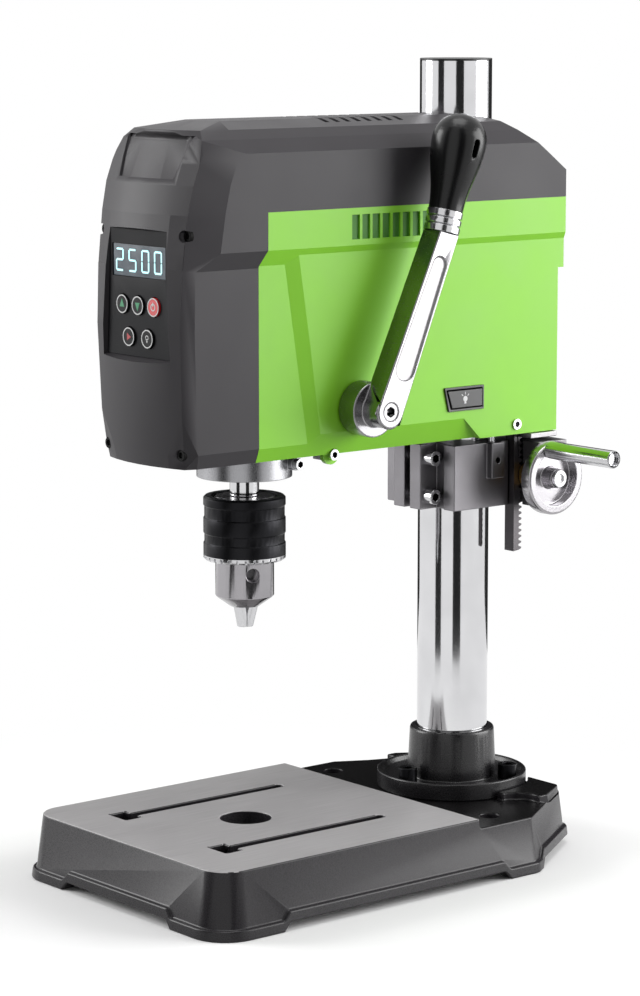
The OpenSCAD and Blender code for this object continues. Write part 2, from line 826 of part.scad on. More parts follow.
// Height crank
module crank_pinion() color(steel) difference() {
    union() {
        translate([rack_x, crank_y, crank_z]) rotate([0, 90, 0]) rotate(-90)
            linear_extrude(rack_w) polygon(gear_outline(lift_teeth, lift_module));
        rod_x(housing_left + blind_wall + gap, wheel_hub_x, crank_shaft_r, crank_y, crank_z);
    }
    rod_x(wheel_x, wheel_hub_x + cut, crank_shaft_r / 2 + fit, crank_y, crank_z);
}
module crank_wheel() color(steel) {
    rim = wheel_d / 2;
    bore = crank_shaft_r + fit;
    face = wheel_x + wheel_w;
    web = wheel_x + wheel_web;
    difference() {
        union() {
            translate([0, crank_y, crank_z]) rotate([0, 90, 0]) rotate_extrude() polygon([
                [bore, wheel_x], [rim - edge, wheel_x], [rim, wheel_x + edge],
                [rim, face - edge], [rim - edge, face], [rim - wheel_rim, face],
                [rim - wheel_rim, web], [wheel_hub_r, web], [wheel_hub_r - edge, wheel_hub_x],
                [bore, wheel_hub_x]]);
            intersection() {
                rod_x(wheel_x + edge, face, grip_pin_r + wheel_web, grip_y, grip_z);
                rod_x(wheel_x + edge, face, rim - edge, crank_y, crank_z);
            }
        }
        rod_x(web, grip_x, grip_pin_r + fit, grip_y, grip_z);
    }
}
module crank_screw() color(steel) translate([wheel_hub_x, crank_y, crank_z]) rotate([0, 90, 0])
    socket_screw(crank_screw_r, crank_screw_h, crank_shaft_r / 2, wheel_hub_l - edge);
module grip_pin() color(steel) {
    head_x = grip_x + grip_l - 2 * grip_head_h;
    rod_x(wheel_x + wheel_web, head_x, grip_pin_r, grip_y, grip_z);
    rod_x(head_x, head_x + grip_head_h, grip_head_r, grip_y, grip_z);
}
module crank_grip() color(steel) difference() {
    rod_x(grip_x, grip_x + grip_l, grip_d / 2, grip_y, grip_z);
    rod_x(grip_x - cut, grip_x + grip_l, grip_pin_r + run, grip_y, grip_z);
    rod_x(grip_x + grip_l - 2 * grip_head_h - gap, grip_x + grip_l + cut, grip_head_r + run,
          grip_y, grip_z);
}

// Head frame: base plate, quill housing, feed box, column sleeve and motor deck
module head_frame() color(satin) difference() {
    union() {
        box(-plate_half, plate_half, fascia_y + gap, plate_back, plate_z, plate_top);
        box(web_half, plate_half, tab_y[0], plate_back, plate_z - plate_t, plate_top);
        box(plate_half - edge, tab_x, tab_y[0], tab_y[1], plate_z - plate_t, plate_z - gap);
        both_sides() box(plate_half - tab_ear_l, plate_half, tab_screw_y - tab_ear_half,
                         tab_screw_y + tab_ear_half, tab_screw_z - tab_ear_half, plate_top);
        rod_z(plate_z, quill_house_top, quill_house_r);
        box(-feed_case_half, feed_case_half, 0, feed_y + feed_box_r + feed_box_wall, head_bottom,
            feed_z + feed_box_r + feed_box_wall);
        rod_x(-plate_half, plate_half, feed_boss_r, feed_y, feed_z);
        both_sides() box(sleeve_r - sleeve_wall / 2, half_w - cover_wall - gap,
                         side_screw_y - side_lug_half, side_screw_y + side_lug_half,
                         head_bottom, side_screw_z + small_head_d);
        rod_z(plate_z, frame_top, sleeve_r, 0, throat);
        rod_z(plate_z, plate_z + rod_boss_h, rod_boss_r, rod_x, rod_y);
        box(rack_pad_in, rack_x, throat, rack_pad_y, head_bottom, head_bottom + rack_pad_h);
        box(-web_half, web_half, feed_y + feed_box_r, throat, head_bottom, head_bottom + web_h);
        box(edge - plate_half, plate_half - edge, -quill_house_r, throat + web_half,
            frame_top - frame_deck_t, frame_top);
    }
    rod_z(plate_z - cut, frame_top - frame_deck_t, quill_r + run);
    box(-quill_slot_half, quill_slot_half, 0, feed_pitch_y + 2 * feed_module,
        plate_z - cut, frame_top - frame_deck_t);
    rod_x(-feed_box_half, feed_box_half, feed_box_r, feed_y, feed_z);
    box(-feed_box_half, feed_box_half, feed_pitch_y, feed_y + feed_box_r, feed_z,
        feed_z + feed_box_r + feed_box_wall + cut);
    rod_x(-half_w, half_w, feed_shaft_r + run, feed_y, feed_z);
    rod_z(plate_z - plate_t - cut, frame_top + cut, column_d / 2 + run, 0, throat);
    rod_z(plate_z - cut, rod_top + cut, rod_d / 2 + run, rod_x, rod_y);
    box(rack_x, rack_x + rack_w + gap, rack_back_y - gap, rack_pitch_y + lift_module,
        plate_z - plate_t - cut, plate_top + cut);
    rod_z(plate_z - cut, frame_top + cut, bearing_r + fit);
    rod_z(sleeve_top - cut, frame_top + cut, motor_shaft_r + gap, 0, motor_at);
    at_rack_screws() rod_x(rack_x - rack_pad_in, rack_x + cut, rack_screw_d / 2 + fit, 0, 0);
    at_tab_screws() rod_x(plate_half - small_head_d, plate_half + cut, small_screw_d / 2 + fit, 0, 0);
    both_sides() rod_x(plate_half - small_head_d, half_w, small_screw_d / 2 + fit,
                       side_screw_y, side_screw_z);
}
module at_rack_screws() {
    for (s = [1 / 4, 3 / 4])
        translate([0, rack_screw_y, head_bottom + rack_pad_h * s]) children();
}
module at_tab_screws() {
    both_sides() translate([0, tab_screw_y, tab_screw_z]) children();
}
module nose_collar() color(satin) difference() {
    union() {
        rod_z(nose_z, plate_z, nose_d / 2);
        rod_x(nose_screw_y, ear_x, ear_r, nose_screw_y, nose_screw_z);
    }
    rod_z(nose_z - cut, plate_z + cut, quill_r + run);
    box(-quill_slot_half, quill_slot_half, 0, nose_d, nose_z - cut, plate_z + cut);
    rod_x(ear_x - small_head_d - fit, ear_x + cut, small_screw_d / 2 + fit, nose_screw_y, nose_screw_z);
}
// Quill lock screw, the two cover tab screws and the rack screws
module socket_screws() color(steel) {
    translate([ear_x, nose_screw_y, nose_screw_z]) rotate([0, 90, 0])
        socket_screw(small_head_d / 2, small_head_h, small_screw_d / 2, small_head_d);
    at_tab_screws() translate([cover_tab_x + cover_tab_t, 0, 0]) rotate([0, 90, 0])
        socket_screw(small_head_d / 2, small_head_h, small_screw_d / 2, small_head_d);
    at_rack_screws() translate([rack_x + rack_w - rack_screw_sink, 0, 0]) rotate([0, 90, 0])
        socket_screw(rack_screw_head_d / 2, rack_screw_sink, rack_screw_d / 2, rack_pad_in);
}
module lift_rack() color(black) {
    first = ceil((rack_bottom - crank_z) / lift_pitch_step);
    last = floor((head_bottom + rack_pad_h - crank_z) / lift_pitch_step);
    difference() {
        slab_x(rack_x, rack_x + rack_w, rack_outline(rack_back_y, rack_pitch_y, crank_z,
                                                     first, last, lift_module, rack_tip_share));
        at_rack_screws() {
            rod_x(rack_x - cut, rack_x + rack_w, rack_screw_d / 2 + fit, 0, 0);
            rod_x(rack_x + rack_w - rack_screw_sink, rack_x + rack_w + cut,
                  rack_screw_head_d / 2 + fit, 0, 0);
        }
    }
}

// Section of the side covers: the outside for i = 0, or the inside, drawn in by i
function cover_section(i, chamfered) =
    let (low = head_bottom - (i > 0 ? cut : 0), high = seam_z + (i > 0 ? cut : 0),
         side = i > 0 ? half_w - i : side_x, foot = chamfered ? chamfer_x - i : side,
         rise = chamfered ? head_bottom + chamfer_slope * (side - foot) : low,
         step = relief_z + band_slope * (side + i - half_w), out = band_x - i)
    [[-foot, low], [foot, low], [side, rise], [side, step], [out, band_z], [out, high],
     [-out, high], [-out, band_z], [-side, step], [-side, rise]];
module cover_form(i) {
    difference() {
        union() {
            slab_y(fascia_y - (i > 0 ? cut : 0), back_y - i, cover_section(i, true));
            intersection() {
                slab_y(0, back_y - i, cover_section(i, false));
                slab_x(-head_w, head_w, [
                    [chamfer_end_y + i, head_bottom - 2 * cut], [chamfer_end_y + i, head_bottom],
                    [chamfer_end_y - chamfer_notch + i, chamfer_z],
                    [chamfer_end_y - chamfer_notch + i, seam_z + 2 * cut],
                    [back_y, seam_z + 2 * cut], [back_y, head_bottom - 2 * cut]]);
            }
        }
        box(-head_w, head_w, back_y - back_step - i, back_y + cut,
            head_bottom - 2 * cut, back_step_z - i);
    }
}
// Space in front of the slanted ridge, where the cover lies level with the fascia
module relief_outline(x, s) {
    slab_x(x, x + thin, [
        [fascia_y - cut, relief_z + s * 2 * side_out * band_slope],
        [fascia_y - cut, head_bottom], [ridge_low_y + edge + s * ridge_w, head_bottom],
        [ridge_low_y + s * ridge_w, head_bottom + ridge_low_up],
        [ridge_high_y + s * ridge_w, relief_z + s * 2 * side_out * band_slope]]);
}
module relief() hull() {
    relief_outline(half_w, 0);
    relief_outline(half_w + 2 * side_out, 1);
}
// Front edge of the covers, moved back by d
function cover_front(d) = [[fascia_y + d, head_bottom - cut], [fascia_y + d, relief_z],
                           [fascia_top_y + d, band_z], [fascia_top_y + d, seam_z + cut]];
module cover_half() {
    inside = half_w - 2 * cover_wall;
    outside = band_x + cut;
    difference() {
        union() {
            intersection() {
                difference() {
                    cover_form(0);
                    cover_form(cover_wall);
                    relief();
                }
                box(0, head_w, fascia_y - cut, back_y + cut, head_bottom, seam_z);
            }
            rod_x(cover_tab_x, cover_tab_x + cover_tab_t, cover_tab_half, tab_screw_y, tab_screw_z);
        }
        slab_x(0, head_w, concat(cover_front(0), [[-head_front, seam_z + cut],
                                                  [-head_front, head_bottom - cut]]));
        for (i = [0 : vents_n - 1])
            box(inside, outside, vent_y + i * vent_pitch, vent_y + vent_w + i * vent_pitch,
                vent_z, vent_z + vent_h);
        rod_x(inside, outside, feed_shaft_r + edge, feed_y, feed_z);
        rod_x(inside, outside, small_screw_d / 2 + fit, side_screw_y, side_screw_z);
        rod_x(plate_half, half_w, small_screw_d / 2 + fit, tab_screw_y, tab_screw_z);
        rod_x(cover_tab_x + cover_tab_t, outside, small_head_d / 2 + gap, tab_screw_y, tab_screw_z);
    }
}
function rocker_outline(d) = [
    [rocker_y - rocker_l / 2 - d, rocker_z + rocker_h / 2 + d],
    [rocker_y - rocker_l / 2 + rocker_slant - d, rocker_z - rocker_h / 2 - d],
    [rocker_y + rocker_l / 2 + d, rocker_z - rocker_h / 2 - d],
    [rocker_y + rocker_l / 2 + d, rocker_z + rocker_h / 2 + d]];
module right_cover() color(green) difference() {
    cover_half();
    slab_x(half_w - 2 * cover_wall, side_x + cut, rocker_outline(fit));
}
module gland_place() {
    translate([-half_w / 2, back_y - back_step, head_bottom + feed_rise]) rotate([-90, 0, 0])
        children();
}
module left_cover() color(green) difference() {
    mirror([1, 0, 0]) cover_half();
    gland_place() translate([0, 0, -2 * cover_wall])
        cylinder(h = 4 * cover_wall, r = gland_thread_r + fit);
}

// Front of the head: one swelling form, cut at the seam into fascia and hood
function front_plan(row, width, back, i) =
    let (x = row[1] * width - i, y = row[2] * head_front - i, side = row[3] * width - i)
    concat([[-side, back], [-side, i - row[4] * head_front]],
           [for (t = front_arc_shares) [t * x, -y - front_swell * (1 - t * t)]],
           [[side, i - row[4] * head_front], [side, back]]);
module slice(z, points) {
    translate([0, 0, z]) linear_extrude(thin) polygon(points);
}
module fascia_form(i) {
    back = fascia_top_y + cut;
    last = len(fascia_low_shares) - 1;
    hull() for (k = [0 : last]) {
        row = fascia_low_shares[k];
        slice(head_bottom + row[0] * head_seam + (k == 0 ? i : 0), front_plan(row, half_w, back, i));
    }
    hull() {
        slice(relief_z - edge, front_plan(fascia_low_shares[last], half_w, back, i + thin));
        for (row = fascia_high_shares)
            slice(head_bottom + row[0] * head_seam - thin + (i > 0 && row[0] == 1 ? cut : 0),
                  front_plan(row, band_x, back, i));
    }
}
module panel_outline(d) {
    slab_y(-2 * head_front, panel_y + panel_t, [
        [-panel_bottom_half - d, panel_z - d], [panel_bottom_half + d, panel_z - d],
        [panel_top_half + d, panel_z + panel_h + d], [-panel_top_half - d, panel_z + panel_h + d]]);
}
// Opening in front of the panel, widening towards the front
module panel_mouth() hull() {
    intersection() {
        panel_outline(gap / 3);
        box(-head_w, head_w, panel_y - edge, panel_y, head_bottom, seam_z);
    }
    intersection() {
        panel_outline(panel_flare);
        box(-head_w, head_w, -head_front - front_swell, -head_front, head_bottom, seam_z);
    }
}
module at_fascia_screws() {
    both_sides() {
        translate([half_w - fascia_screw_in[0], fascia_screw_back[0] - head_front,
                   seam_z - fascia_screw_drop]) children();
        translate([half_w - fascia_screw_in[1], fascia_screw_back[1] - head_front,
                   head_bottom + fascia_screw_up]) children();
    }
}
module front_fascia() color(dark) difference() {
    fascia_form(0);
    difference() {
        fascia_form(cover_wall);
        at_fascia_screws() rod_y(-fascia_screw_l, fascia_screw_l, fascia_screw_head_r + edge, 0, 0);
        panel_outline(cover_wall);
    }
    slab_x(-head_w, head_w, concat(cover_front(-gap / 3), [[0, seam_z + cut], [0, head_bottom - cut]]));
    panel_outline(gap / 3);
    panel_mouth();
    rod_z(head_bottom - cut, head_bottom + 2 * cover_wall, quill_house_r + gap);
    at_fascia_screws() {
        rod_y(-fascia_screw_l, fascia_screw_sink, fascia_screw_head_r + fit, 0, 0);
        rod_y(-cut, fascia_screw_l + cut, small_screw_d / 2 + fit, 0, 0);
    }
    rod_z(head_bottom - cut, head_bottom + 2 * cover_wall, lamp_r + fit, 0, lamp_y);
}
module hood_form(i) {
    hull() for (k = [0 : len(hood_shares) - 1]) {
        row = hood_shares[k];
        slice(seam_z + row[0] * head_top - (k > 0 ? thin + i : (i > 0 ? cut : 0)),
              front_plan(row, band_x, back_y * (1 - row[5]) - i, i));
    }
}
module top_hood() color(dark) difference() {
    hood_form(0);
    hood_form(cover_wall);
    difference() {
        slab_y(-2 * head_front, 0, [
            [-hood_mark_half[0], seam_z + hood_mark_up[0]], [hood_mark_half[0], seam_z + hood_mark_up[0]],
            [hood_mark_half[1], seam_z + hood_mark_up[1]], [-hood_mark_half[1], seam_z + hood_mark_up[1]]]);
        hood_form(hood_mark_t);
    }
    rod_z(seam_z, hood_top + cut, hood_hole_r, 0, throat);
    for (i = [0 : hood_slot_n - 1]) both_sides()
        box(half_w / 4, half_w / 4 + hood_slot_l, hood_slot_y + i * hood_slot_pitch,
            hood_slot_y + hood_slot_w + i * hood_slot_pitch, hood_ridge, hood_top + cut);
}
module cover_screws() color(steel) both_sides() translate([side_x, side_screw_y, side_screw_z])
    rotate([0, 90, 0]) socket_screw(small_head_d / 2, side_head_h, small_screw_d / 2, 2 * small_head_d);
module fascia_screws() color(black) at_fascia_screws() translate([0, fascia_screw_sink, 0])
    rotate([90, 0, 0])
        socket_screw(fascia_screw_head_r, fascia_screw_sink, small_screw_d / 2,
                     fascia_screw_l - 2 * fascia_screw_sink);

// Panel, display and board
module display_panel() color(black) difference() {
    intersection() {
        panel_outline(0);
        box(-head_w, head_w, panel_y, 0, panel_z, panel_z + panel_h);
    }
    for (p = concat(upper_row, lower_row))
        rod_y(panel_y - cut, panel_y + panel_t + cut, button_d / 2 + gap, p[0], p[1]);
    box(-lens_half, lens_half, panel_y - cut, panel_y + lens_t, lens_z, lens_z + lens_h);
}
module display_lens() color("#4a5660")
    box(-lens_half + fit, lens_half - fit, panel_y + lens_in, panel_y + lens_t - fit,
        lens_z + fit, lens_z + lens_h - fit);
module button(p) {
    rod_y(panel_y - button_out, panel_y + button_depth, button_d / 2, p[0], p[1]);
}
module button_up() color("#1f8f4f") button(upper_row[0]);
module button_down() color("#1f8f4f") button(upper_row[1]);
module button_power() color("#d8262c") button(upper_row[2]);
module button_start() color("#b3262c") button(lower_row[0]);
module button_lamp() color("#55565a") button(lower_row[1]);
module control_board() color("#2f6b3f") {
    box(-board_half, board_half, board_y, board_y + board_t, panel_z, panel_z + panel_h - board_t);
    for (p = concat(upper_row, lower_row))
        rod_y(board_y - board_gap + fit, board_y, button_d / 4, p[0], p[1]);
    box(-lens_half, lens_half, panel_y + panel_t + fit, board_y, lens_z, lens_z + lens_h);
    for (s = [-1, 1]) translate([s * board_half / 2 - board_block_w / 2, board_y, panel_z + row_2_up])
        cube([board_block_w, board_t + board_block_l, board_half / 2]);
}

// Motor, belt and their bearing
module motor() color("#8d8f94") difference() {
    union() {
        rod_z(motor_top - motor_l, motor_top, motor_r, 0, motor_at);
        rod_z(motor_top - motor_l - motor_end_l, motor_top - motor_l, motor_r / 2, 0, motor_at);
    }
    rod_z(motor_top - motor_l + motor_shell, motor_top + cut, motor_shaft_r + run, 0, motor_at);
}
module motor_shaft() color(steel)
    rod_z(motor_top - motor_l + motor_shell + gap, pulley_top, motor_shaft_r, 0, motor_at);
// Flanged belt pulley standing on the motor deck
module pulley(bore) {
    difference() {
        union() {
            rod_z(pulley_base, pulley_top, pulley_r);
            rod_z(pulley_base, pulley_base + pulley_flange_t, pulley_flange_r);
            rod_z(pulley_top - pulley_flange_t, pulley_top, pulley_flange_r);
            children();
        }
        rod_z(sleeve_top - cut, pulley_top + cut, bore);
    }
}
module motor_pulley() color(satin) translate([0, motor_at, 0]) pulley(motor_shaft_r + fit);
module spindle_pulley() color(satin) pulley(spindle_top_r + run)
    rod_z(frame_top - bearing_t, pulley_z, hub_r);
module pulley_bearing() color(steel) difference() {
    rod_z(frame_top - bearing_t, frame_top, bearing_r);
    rod_z(frame_top - bearing_t - cut, frame_top + cut, hub_r + run);
}
module belt_loop(r, spare) {
    z0 = pulley_z - spare;
    z1 = pulley_z + belt_w + spare;
    rod_z(z0, z1, r);
    rod_z(z0, z1, r, 0, motor_at);
    box(-r, r, 0, motor_at, z0, z1);
}
module drive_belt() color(black) difference() {
    belt_loop(pulley_r + gap + belt_t, 0);
    belt_loop(pulley_r + gap, cut);
}

// Side switch, lamp, cable inlet and return spring
module rocker_bezel() color(black) difference() {
    slab_x(side_x - bezel_depth, side_x + edge, rocker_outline(0));
    slab_x(side_x - bezel_depth + bezel_floor, side_x + edge + cut, rocker_outline(-bezel_w));
}
module lamp_rocker() color(black) {
    pin_half = rocker_h / 2 - bezel_w - gap / 2;
    slab_x(side_x - rocker_depth, side_x + rocker_proud, rocker_outline(-bezel_w - 2 * gap));
    rod_z(rocker_z - pin_half, rocker_z + pin_half, rocker_pin_r, rocker_x, rocker_y);
}
module work_light() color("#e8eef0") {
    rod_z(head_bottom - lamp_proud, head_bottom + cover_wall, lamp_r, 0, lamp_y);
    rod_z(head_bottom + cover_wall, head_bottom + 3 * cover_wall, lamp_r + edge, 0, lamp_y);
}
module cable_gland() color(black) gland_place() difference() {
    back = -cover_wall - gland_nut_t;
    union() {
        translate([0, 0, back]) cylinder(h = gland_nut_t, r = gland_nut_r, $fn = 6);
        translate([0, 0, back]) cylinder(h = gland_head_t - back, r = gland_thread_r);
        cylinder(h = gland_head_t, r = gland_head_r, $fn = 6);
        translate([0, 0, gland_head_t])
            cylinder(h = gland_cone_l, r1 = gland_cone_r[0], r2 = gland_cone_r[1]);
    }
    translate([0, 0, back - cut])
        cylinder(h = gland_head_t + gland_cone_l - back + 2 * cut, r = gland_bore_r);
}
module spring_cap() color(black) difference() {
    rod_x(-side_x - spring_cap_l, -side_x, spring_cap_r, feed_y, feed_z);
    rod_x(-side_x - spring_cap_l + spring_wall, -side_x + cut, spring_cap_r - spring_wall,
          feed_y, feed_z);
}
// Clock spring, from the shaft out to the cap
function spiral_r(s) =
    feed_shaft_r + gap + (spring_cap_r - spring_wall - feed_shaft_r - spring_strip - 2 * gap) * s;
function spiral(extra) = [for (s = [0 : 0.01 : 1]) let (a = 360 * spring_turns * s)
    (spiral_r(s) + extra) * [cos(a), sin(a)]];
function backwards(list) = [for (i = [len(list) - 1 : -1 : 0]) list[i]];
module return_spring() color(steel)
    translate([-side_x - spring_wall - spring_w, feed_y, feed_z]) rotate([90, 0, 90])
        linear_extrude(spring_w) polygon(concat(spiral(0), backwards(spiral(spring_strip))));

// Feed shaft and lever
module feed_pinion() color(steel) difference() {
    union() {
        rod_x(-side_x - spring_cap_l + 2 * spring_wall, arm_face - lever_screw_h, feed_shaft_r,
              feed_y, feed_z);
        translate([-feed_gear_half, feed_y, feed_z]) rotate([90, 0, 90]) rotate(180)
            linear_extrude(2 * feed_gear_half) polygon(gear_outline(feed_teeth, feed_module));
    }
    rod_x(arm_x, arm_face, small_screw_d / 2 + fit, feed_y, feed_z);
}
// Places its children along the lever, measured out from the feed shaft
module on_lever() {
    translate([arm_x + arm_t / 2, feed_y, feed_z]) rotate([-lever_lean, 0, 0]) children();
}
// The same for the collar and knob, where the lever bends back towards upright
module on_handle() {
    on_lever() translate([0, 0, arm_l]) rotate([knob_bend, 0, 0]) children();
}
// Shallow recess in the face of the arm, with rounded ends
module arm_panel() {
    low = arm_panel_half[0];
    high = arm_panel_half[1];
    top = arm_l - arm_panel_short;
    slab_x(arm_t / 2 - arm_panel_t, arm_t, concat(
        [for (a = [180 : 15 : 360]) [low * cos(a), arm_panel_from + low * sin(a)]],
        [for (a = [0 : 15 : 180]) [high * cos(a), top + high * sin(a)]]));
}
module feed_lever() color(satin) difference() {
    union() {
        rod_x(lever_x, arm_x + cut, lever_hub_d / 2, feed_y, feed_z);
        rod_x(arm_x - cut, arm_face - edge, arm_r, feed_y, feed_z);
        on_lever() difference() {
            slab_x(-arm_t / 2, arm_t / 2, concat(
                [for (a = [180 : 15 : 360]) [arm_low_half * cos(a), arm_low_half * sin(a)]],
                [[arm_top_half, arm_l + 2 * edge], [-arm_top_half, arm_l + 2 * edge]]));
            arm_panel();
        }
    }
    on_handle() box(-knob_d, knob_d, -knob_d, knob_d, 0, knob_d);
    rod_x(lever_x - cut, arm_face - lever_screw_h, feed_shaft_r + fit, feed_y, feed_z);
    rod_x(arm_x, arm_face + cut, lever_screw_r + fit, feed_y, feed_z);
}
module lever_screw() color(steel)
    translate([arm_face - lever_screw_h, feed_y, feed_z]) rotate([0, 90, 0])
        socket_screw(lever_screw_r, lever_screw_h - gap, small_screw_d / 2, arm_t / 2);
module lever_collar() color(steel) {
    ring = collar_l / collar_rings;
    on_handle() rotate_extrude() polygon(concat([[0, 0], [collar_r, 0]],
        [for (i = [1 : collar_rings - 1]) each [
            [collar_r, i * ring - collar_groove / 2], [collar_r - collar_groove, i * ring],
            [collar_r, i * ring + collar_groove / 2]]],
        [[collar_r, collar_l], [0, collar_l]]));
}
// Pear-shaped knob: neck, swell and domed end, with a slot across the swell
module lever_knob() color(black) {
    ball = knob_d / 2;
    rise = knob_l - ball;
    on_handle() difference() {
        translate([0, 0, collar_l]) rotate_extrude() polygon(concat([[0, 0]],
            [for (s = [0 : 0.1 : 1]) [knob_neck_r + (ball - knob_neck_r) * (1 - cos(180 * s)) / 2,
                                      rise * s]],
            [for (a = [10 : 10 : 90]) [ball * cos(a), rise + ball * sin(a)]]));
        translate([0, 0, collar_l + rise * 0.9]) {
            box(-knob_d, knob_d, -knob_slot_h / 2, knob_slot_h / 2, -knob_slot_half, knob_slot_half);
            for (s = [-1, 1]) rod_x(-knob_d, knob_d, knob_slot_h / 2, 0, s * knob_slot_half);
        }
    }
}

// Quill with its rack and bearings
module quill() color(steel) difference() {
    rod_z(quill_bottom, quill_top, quill_r);
    rod_z(quill_bottom - cut, quill_top + cut, quill_bore_r);
    rod_z(quill_bottom - cut, quill_bottom + quill_bearing_t, bearing_outer + fit);
    rod_z(quill_top - quill_bearing_t, quill_top + cut, bearing_outer + fit);
    box(-quill_rack_half - fit, quill_rack_half + fit, quill_rack_seat, quill_d,
        feed_z - rack_spare - fit, feed_z + quill_travel + rack_spare + feed_pitch_step);
}
module quill_rack() color(steel) {
    last = ceil((quill_travel + rack_spare) / feed_pitch_step);
    slab_x(-quill_rack_half, quill_rack_half, rack_outline(quill_rack_seat + fit, feed_pitch_y,
        feed_z, -2, last, feed_module, quill_tip_share));
}
module quill_bearings() color(steel) {
    for (z = [quill_bottom, quill_top - quill_bearing_t + fit]) difference() {
        rod_z(z, z + quill_bearing_t - fit, bearing_outer);
        rod_z(z - cut, z + quill_bearing_t + cut, spindle_d / 2 + run);
    }
}
module spindle() color(steel) {
    rod_z(chuck_z, quill_top + cut, spindle_d / 2);
    rod_z(quill_top, spindle_top, spindle_top_r);
    rod_z(spindle_bottom, chuck_z, chuck_socket_r - fit);
}
// Directions of the three jaws
module at_jaw(i) {
    rotate(jaw_angle + 120 * i) translate([0, 0, chuck_tip_z]) rotate([0, jaw_tilt, 0]) children();
}
module chuck_body() color(steel) difference() {
    rotate_extrude() polygon([
        [0, chuck_nose_z], [chuck_nose_r, chuck_nose_z], [chuck_body_r - edge, chuck_edge_z],
        [chuck_body_r, chuck_edge_z + edge], [chuck_body_r, chuck_bottom],
        [chuck_inner_r, chuck_bottom + chuck_lip], [chuck_inner_r, chuck_z - chuck_lip],
        [chuck_inner_r - chuck_lip, chuck_z - gap], [0, chuck_z - gap]]);
    rod_z(spindle_bottom - edge, chuck_z + cut, chuck_socket_r);
    rod_z(chuck_nose_z - cut, spindle_bottom, drill_bore_r);
    for (i = [0 : 2]) {
        at_jaw(i) translate([jaw_off, 0, 0]) rod_z(0, jaw_l + jaw_travel + edge, jaw_d / 2 + run);
        rotate(key_angle + 120 * i)
            rod_x(chuck_body_r - key_depth, chuck_body_r + cut, key_d / 2, 0, key_z);
    }
}
module jaw(i) {
    intersection() {
        at_jaw(i) translate([jaw_off, 0, 0]) rod_z(-jaw_d, jaw_l, jaw_d / 2);
        rotate(jaw_angle + 120 * i) translate([gap / 3, 0, 0]) linear_extrude(chuck_z) polygon([
            [0, 0], [chuck_r * cos(60), -chuck_r * sin(60)], [chuck_r, 0],
            [chuck_r * cos(60), chuck_r * sin(60)]]);
        rod_z(chuck_tip_z, chuck_z, chuck_r);
    }
}
module jaw_1() color(steel) jaw(0);
module jaw_2() color(steel) jaw(1);
module jaw_3() color(steel) jaw(2);
// Sleeve with two sunk bands, a toothed lower edge and a plain top
module chuck_sleeve() color(black) {
    h = chuck_sleeve_h;
    low_r = chuck_r - sleeve_groove;
    difference() {
        translate([0, 0, chuck_bottom]) rotate_extrude() polygon(concat(
            [[chuck_inner_r + run, 0], [chuck_r - edge, 0], [chuck_r, edge]],
            [for (b = sleeve_band_shares) each [[chuck_r, h * b[0] - sleeve_groove], [low_r, h * b[0]],
                                                [low_r, h * b[1]], [chuck_r, h * b[1] + sleeve_groove]]],
            [[chuck_r, h - edge], [chuck_r - edge, h], [chuck_inner_r + run, h]]));
        for (i = [0 : teeth_n - 1]) rotate(360 * i / teeth_n)
            translate([chuck_inner_r + chuck_lip, -tooth_gap / 2, chuck_bottom - cut])
                cube([chuck_r, tooth_gap, chuck_lip + cut]);
    }
}

base_casting();
column_flange();
flange_screws();
column();
column_cap();
clamp_block();
pinch_screws();
lug_screw();
guide_rod();
pinion_bush();
crank_pinion();
crank_wheel();
crank_screw();
grip_pin();
crank_grip();
head_frame();
nose_collar();
socket_screws();
lift_rack();
right_cover();
left_cover();
front_fascia();
top_hood();
cover_screws();
fascia_screws();
display_panel();
display_lens();
control_board();
motor();
drive_belt();
pulley_bearing();
rocker_bezel();
spring_cap();
return_spring();
work_light();
cable_gland();
feed_pinion();
feed_lever();
lever_collar();
lever_knob();
lever_screw();
quill();
quill_rack();
quill_bearings();
spindle();
chuck_body();
chuck_sleeve();
jaw_1();
jaw_2();
jaw_3();
spindle_pulley();
motor_shaft();
motor_pulley();
button_up();
button_down();
button_power();
button_start();
button_lamp();
lamp_rocker();
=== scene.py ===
# %% [markdown]
# A small bench drill, dressed for its portrait. The CAD model arrives as a fixed frame: every rigid
# piece is already in its place, in metres, with the drill axis on Z and the column behind it on Y.
# This script gives each piece the edges, finishes and small details that the CAD leaves out.

# %% Load the frame and note its box
import json
import math

import bmesh
import bpy
from mathutils import Matrix, Vector
from mathutils.geometry import area_tri


